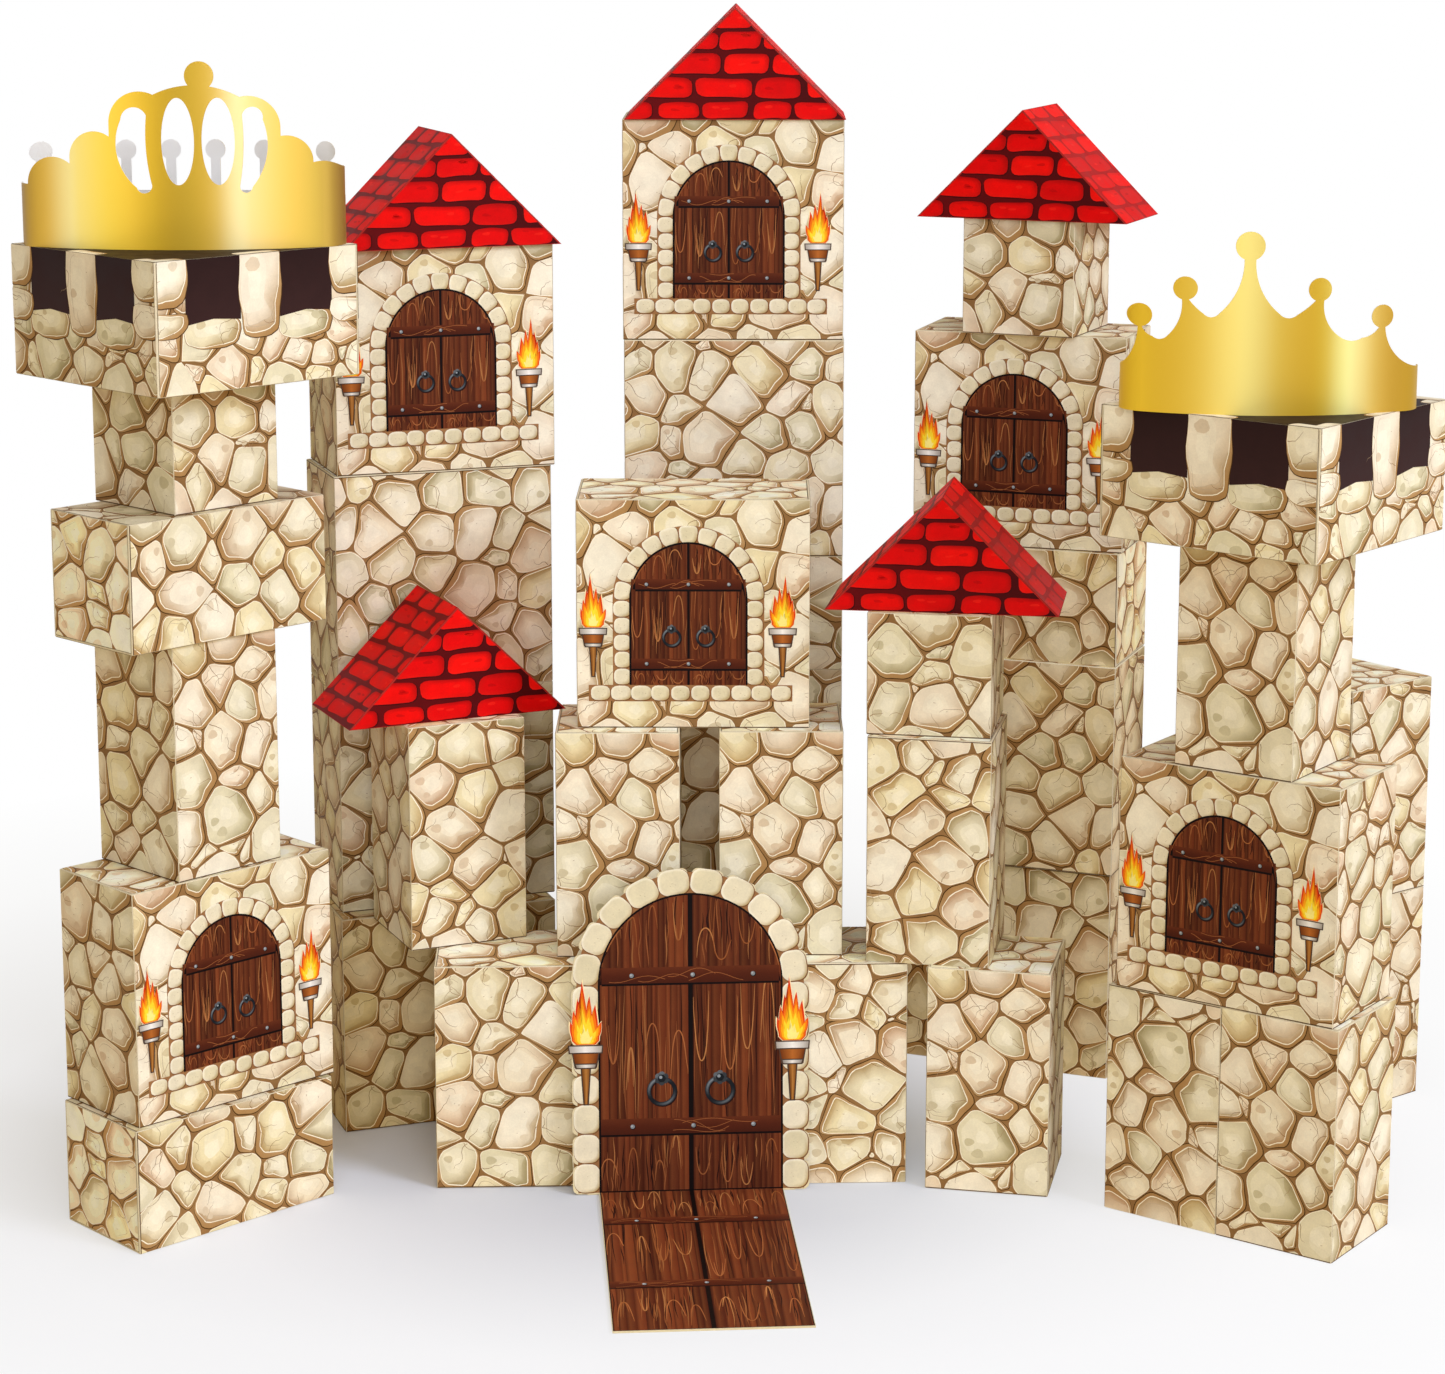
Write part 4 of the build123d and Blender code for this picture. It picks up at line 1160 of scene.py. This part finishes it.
bridge_sheet = Sheet()
bridge_up = np.array((-gate_across[1], gate_across[0], 0.0))
on_floor = gate_points[gate_points[:, 2] < 0.002]
bridge_reach = on_floor @ bridge_up
bridge_length = np.ptp(bridge_reach) / MM
bridge_across = on_floor[bridge_reach < bridge_reach.min() + 0.1] @ gate_across
bridge_width = np.ptp(bridge_across) / MM
half_bridge = bridge_width / 2
rng = random.Random(51)
bridge_sheet.poly(rectangle(0.4, 0.4, bridge_width - 0.4, bridge_length - 0.1), LAYER["mortar"], INK_BLACK)
battens = ((64.0, 74.0), (166.0, 176.0))
for low, high in ((0.7, battens[0][0]), (battens[0][1], battens[1][0]), (battens[1][1], bridge_length - 0.8)):
    for x0, x1 in ((0.9, half_bridge - 1.4), (half_bridge + 1.4, bridge_width - 0.9)):
        plank_field(bridge_sheet, x0, x1, low, lambda x, level=high: level, LAYER["planks"], rng, 1.3)
for low, high in battens:
    batten(bridge_sheet, 0.9, bridge_width - 0.9, low, high, LAYER["battens"], rng,
           [half_bridge - 38, half_bridge, half_bridge + 38], 1.4)
# The drawbridge's ink is lightened: painted light
bridge_sheet.lighten(BRIDGE_PAINTED_LIGHT)
bridge_corner = gate_across * bridge_across.min() + bridge_up * bridge_reach.min()
bridge_corner[2] = GATE_CARD * MM
place([(bridge_sheet, bridge_corner, gate_across, bridge_up)], "drawbridge_print")


# Floor, background, light, camera

WHITE = (1.0, 1.0, 1.0)


def stage_floor():
    """A round floor that is lit near the castle and fades to white away from it where it is seen, with
    painted shade close to the castle.
    """
    mesh = bpy.data.meshes.new("floor")
    rings, sides, level = 24, 72, -0.0002
    points = [(0.0, 0.0, level)]
    for ring in range(1, rings + 1):
        points += [(x, y, level) for x, y in circle(0.0, 0.0, 7.0 * (ring / rings) ** 1.6, sides)]
    faces = [(0, 1 + k, 1 + (k + 1) % sides) for k in range(sides)]
    for ring in range(rings - 1):
        a, b = 1 + ring * sides, 1 + (ring + 1) * sides
        faces += [(a + k, b + k, b + (k + 1) % sides, a + (k + 1) % sides) for k in range(sides)]
    mesh.from_pydata(points, [], faces)
    floor = add_object("floor", mesh)
    made, tree, shader, where = material("floor")
    near = tree.node("ShaderNodeVectorMath", {0: where}, "Value", operation="LENGTH")
    # Where it is seen, the floor is painted darker close to the castle: painted shade
    seen_with_painted_shade = tree.blend(tree.ramp(near, 0.0, 1.0, 0.12, 0.36), ink("#c9cdd7"), ink("#ebeef7"))
    camera_ray = tree.node("ShaderNodeLightPath", {}, "Is Camera Ray")
    tree.fill(shader, {"Base Color": tree.blend(camera_ray, ink("#ebdab4"), seen_with_painted_shade), "Roughness": 0.9,
                       "Specular IOR Level": 0.1})
    lit_spot = (-0.15, 0.08, 0.0)
    distance = tree.node("ShaderNodeVectorMath", {0: where, 1: lit_spot}, "Value", operation="DISTANCE")
    whiter = tree.colour_ramp(distance, [(at, (share,) * 3) for at, share in (
        (0.14, 0.0), (0.4, 0.66), (0.7, 0.9), (1.0, 1.0))])
    lit = shader.outputs[0]
    white = tree.node("ShaderNodeEmission", {"Color": (*WHITE, 1.0)})
    only_seen = tree.node("ShaderNodeMixShader", {"Fac": tree.seen_or_mirrored(), 1: lit, 2: white})
    faded = tree.node("ShaderNodeMixShader", {"Fac": whiter, 1: lit, 2: only_seen})
    tree.fill(tree.nodes["Material Output"], {"Surface": faded})
    mesh.materials.append(made)


def light_world():
    """White where the background is seen or mirrored, and a dim, warm light from everywhere else."""
    world = bpy.data.worlds.new("studio")
    bpy.context.scene.world = world
    world.use_nodes = True
    tree = Tree(world.node_tree)
    seen = tree.seen_or_mirrored()
    tree.fill(tree.nodes["Background"], {
        "Strength": tree.ramp(seen, 0.3, 1.0, 0.0, 1.0), "Color": tree.blend(seen, (1.0, 0.73, 0.34), WHITE)})


def lamp(name, place_at, look_at, size, watts, colour):
    light = bpy.data.lights.new(name, "AREA")
    change(light, shape="DISK", size=size, energy=watts, color=colour)
    turn = (Vector(look_at) - Vector(place_at)).to_track_quat("-Z", "Y").to_euler()
    change(add_object(name, light), location=place_at, rotation_euler=turn)


stage_floor()
light_world()
lamp("key", (3.0, -2.3, 2.1), (0.05, 0.0, 0.35), 1.5, 85.0, (0.93, 1.0, 1.22))
lamp("front", (-0.1, -3.5, 1.6), (0.0, 0.0, 0.35), 2.4, 47.0, (0.95, 0.99, 1.1))
lamp("top", (0.3, -0.9, 4.0), (0.0, -0.1, 0.2), 2.6, 49.0, (0.88, 0.95, 1.0))

camera = bpy.data.cameras.new("camera")
change(camera, sensor_fit="HORIZONTAL", sensor_width=36.0, lens=86.82, shift_y=-0.0968, clip_end=50.0)
eye = add_object("camera", camera)
change(eye, location=(-0.0266, -2.2107, 0.8384), rotation_euler=(math.radians(79.17), 0.0, 0.0))
bpy.context.scene.camera = eye

bpy.context.scene.view_settings.view_transform = "Standard"
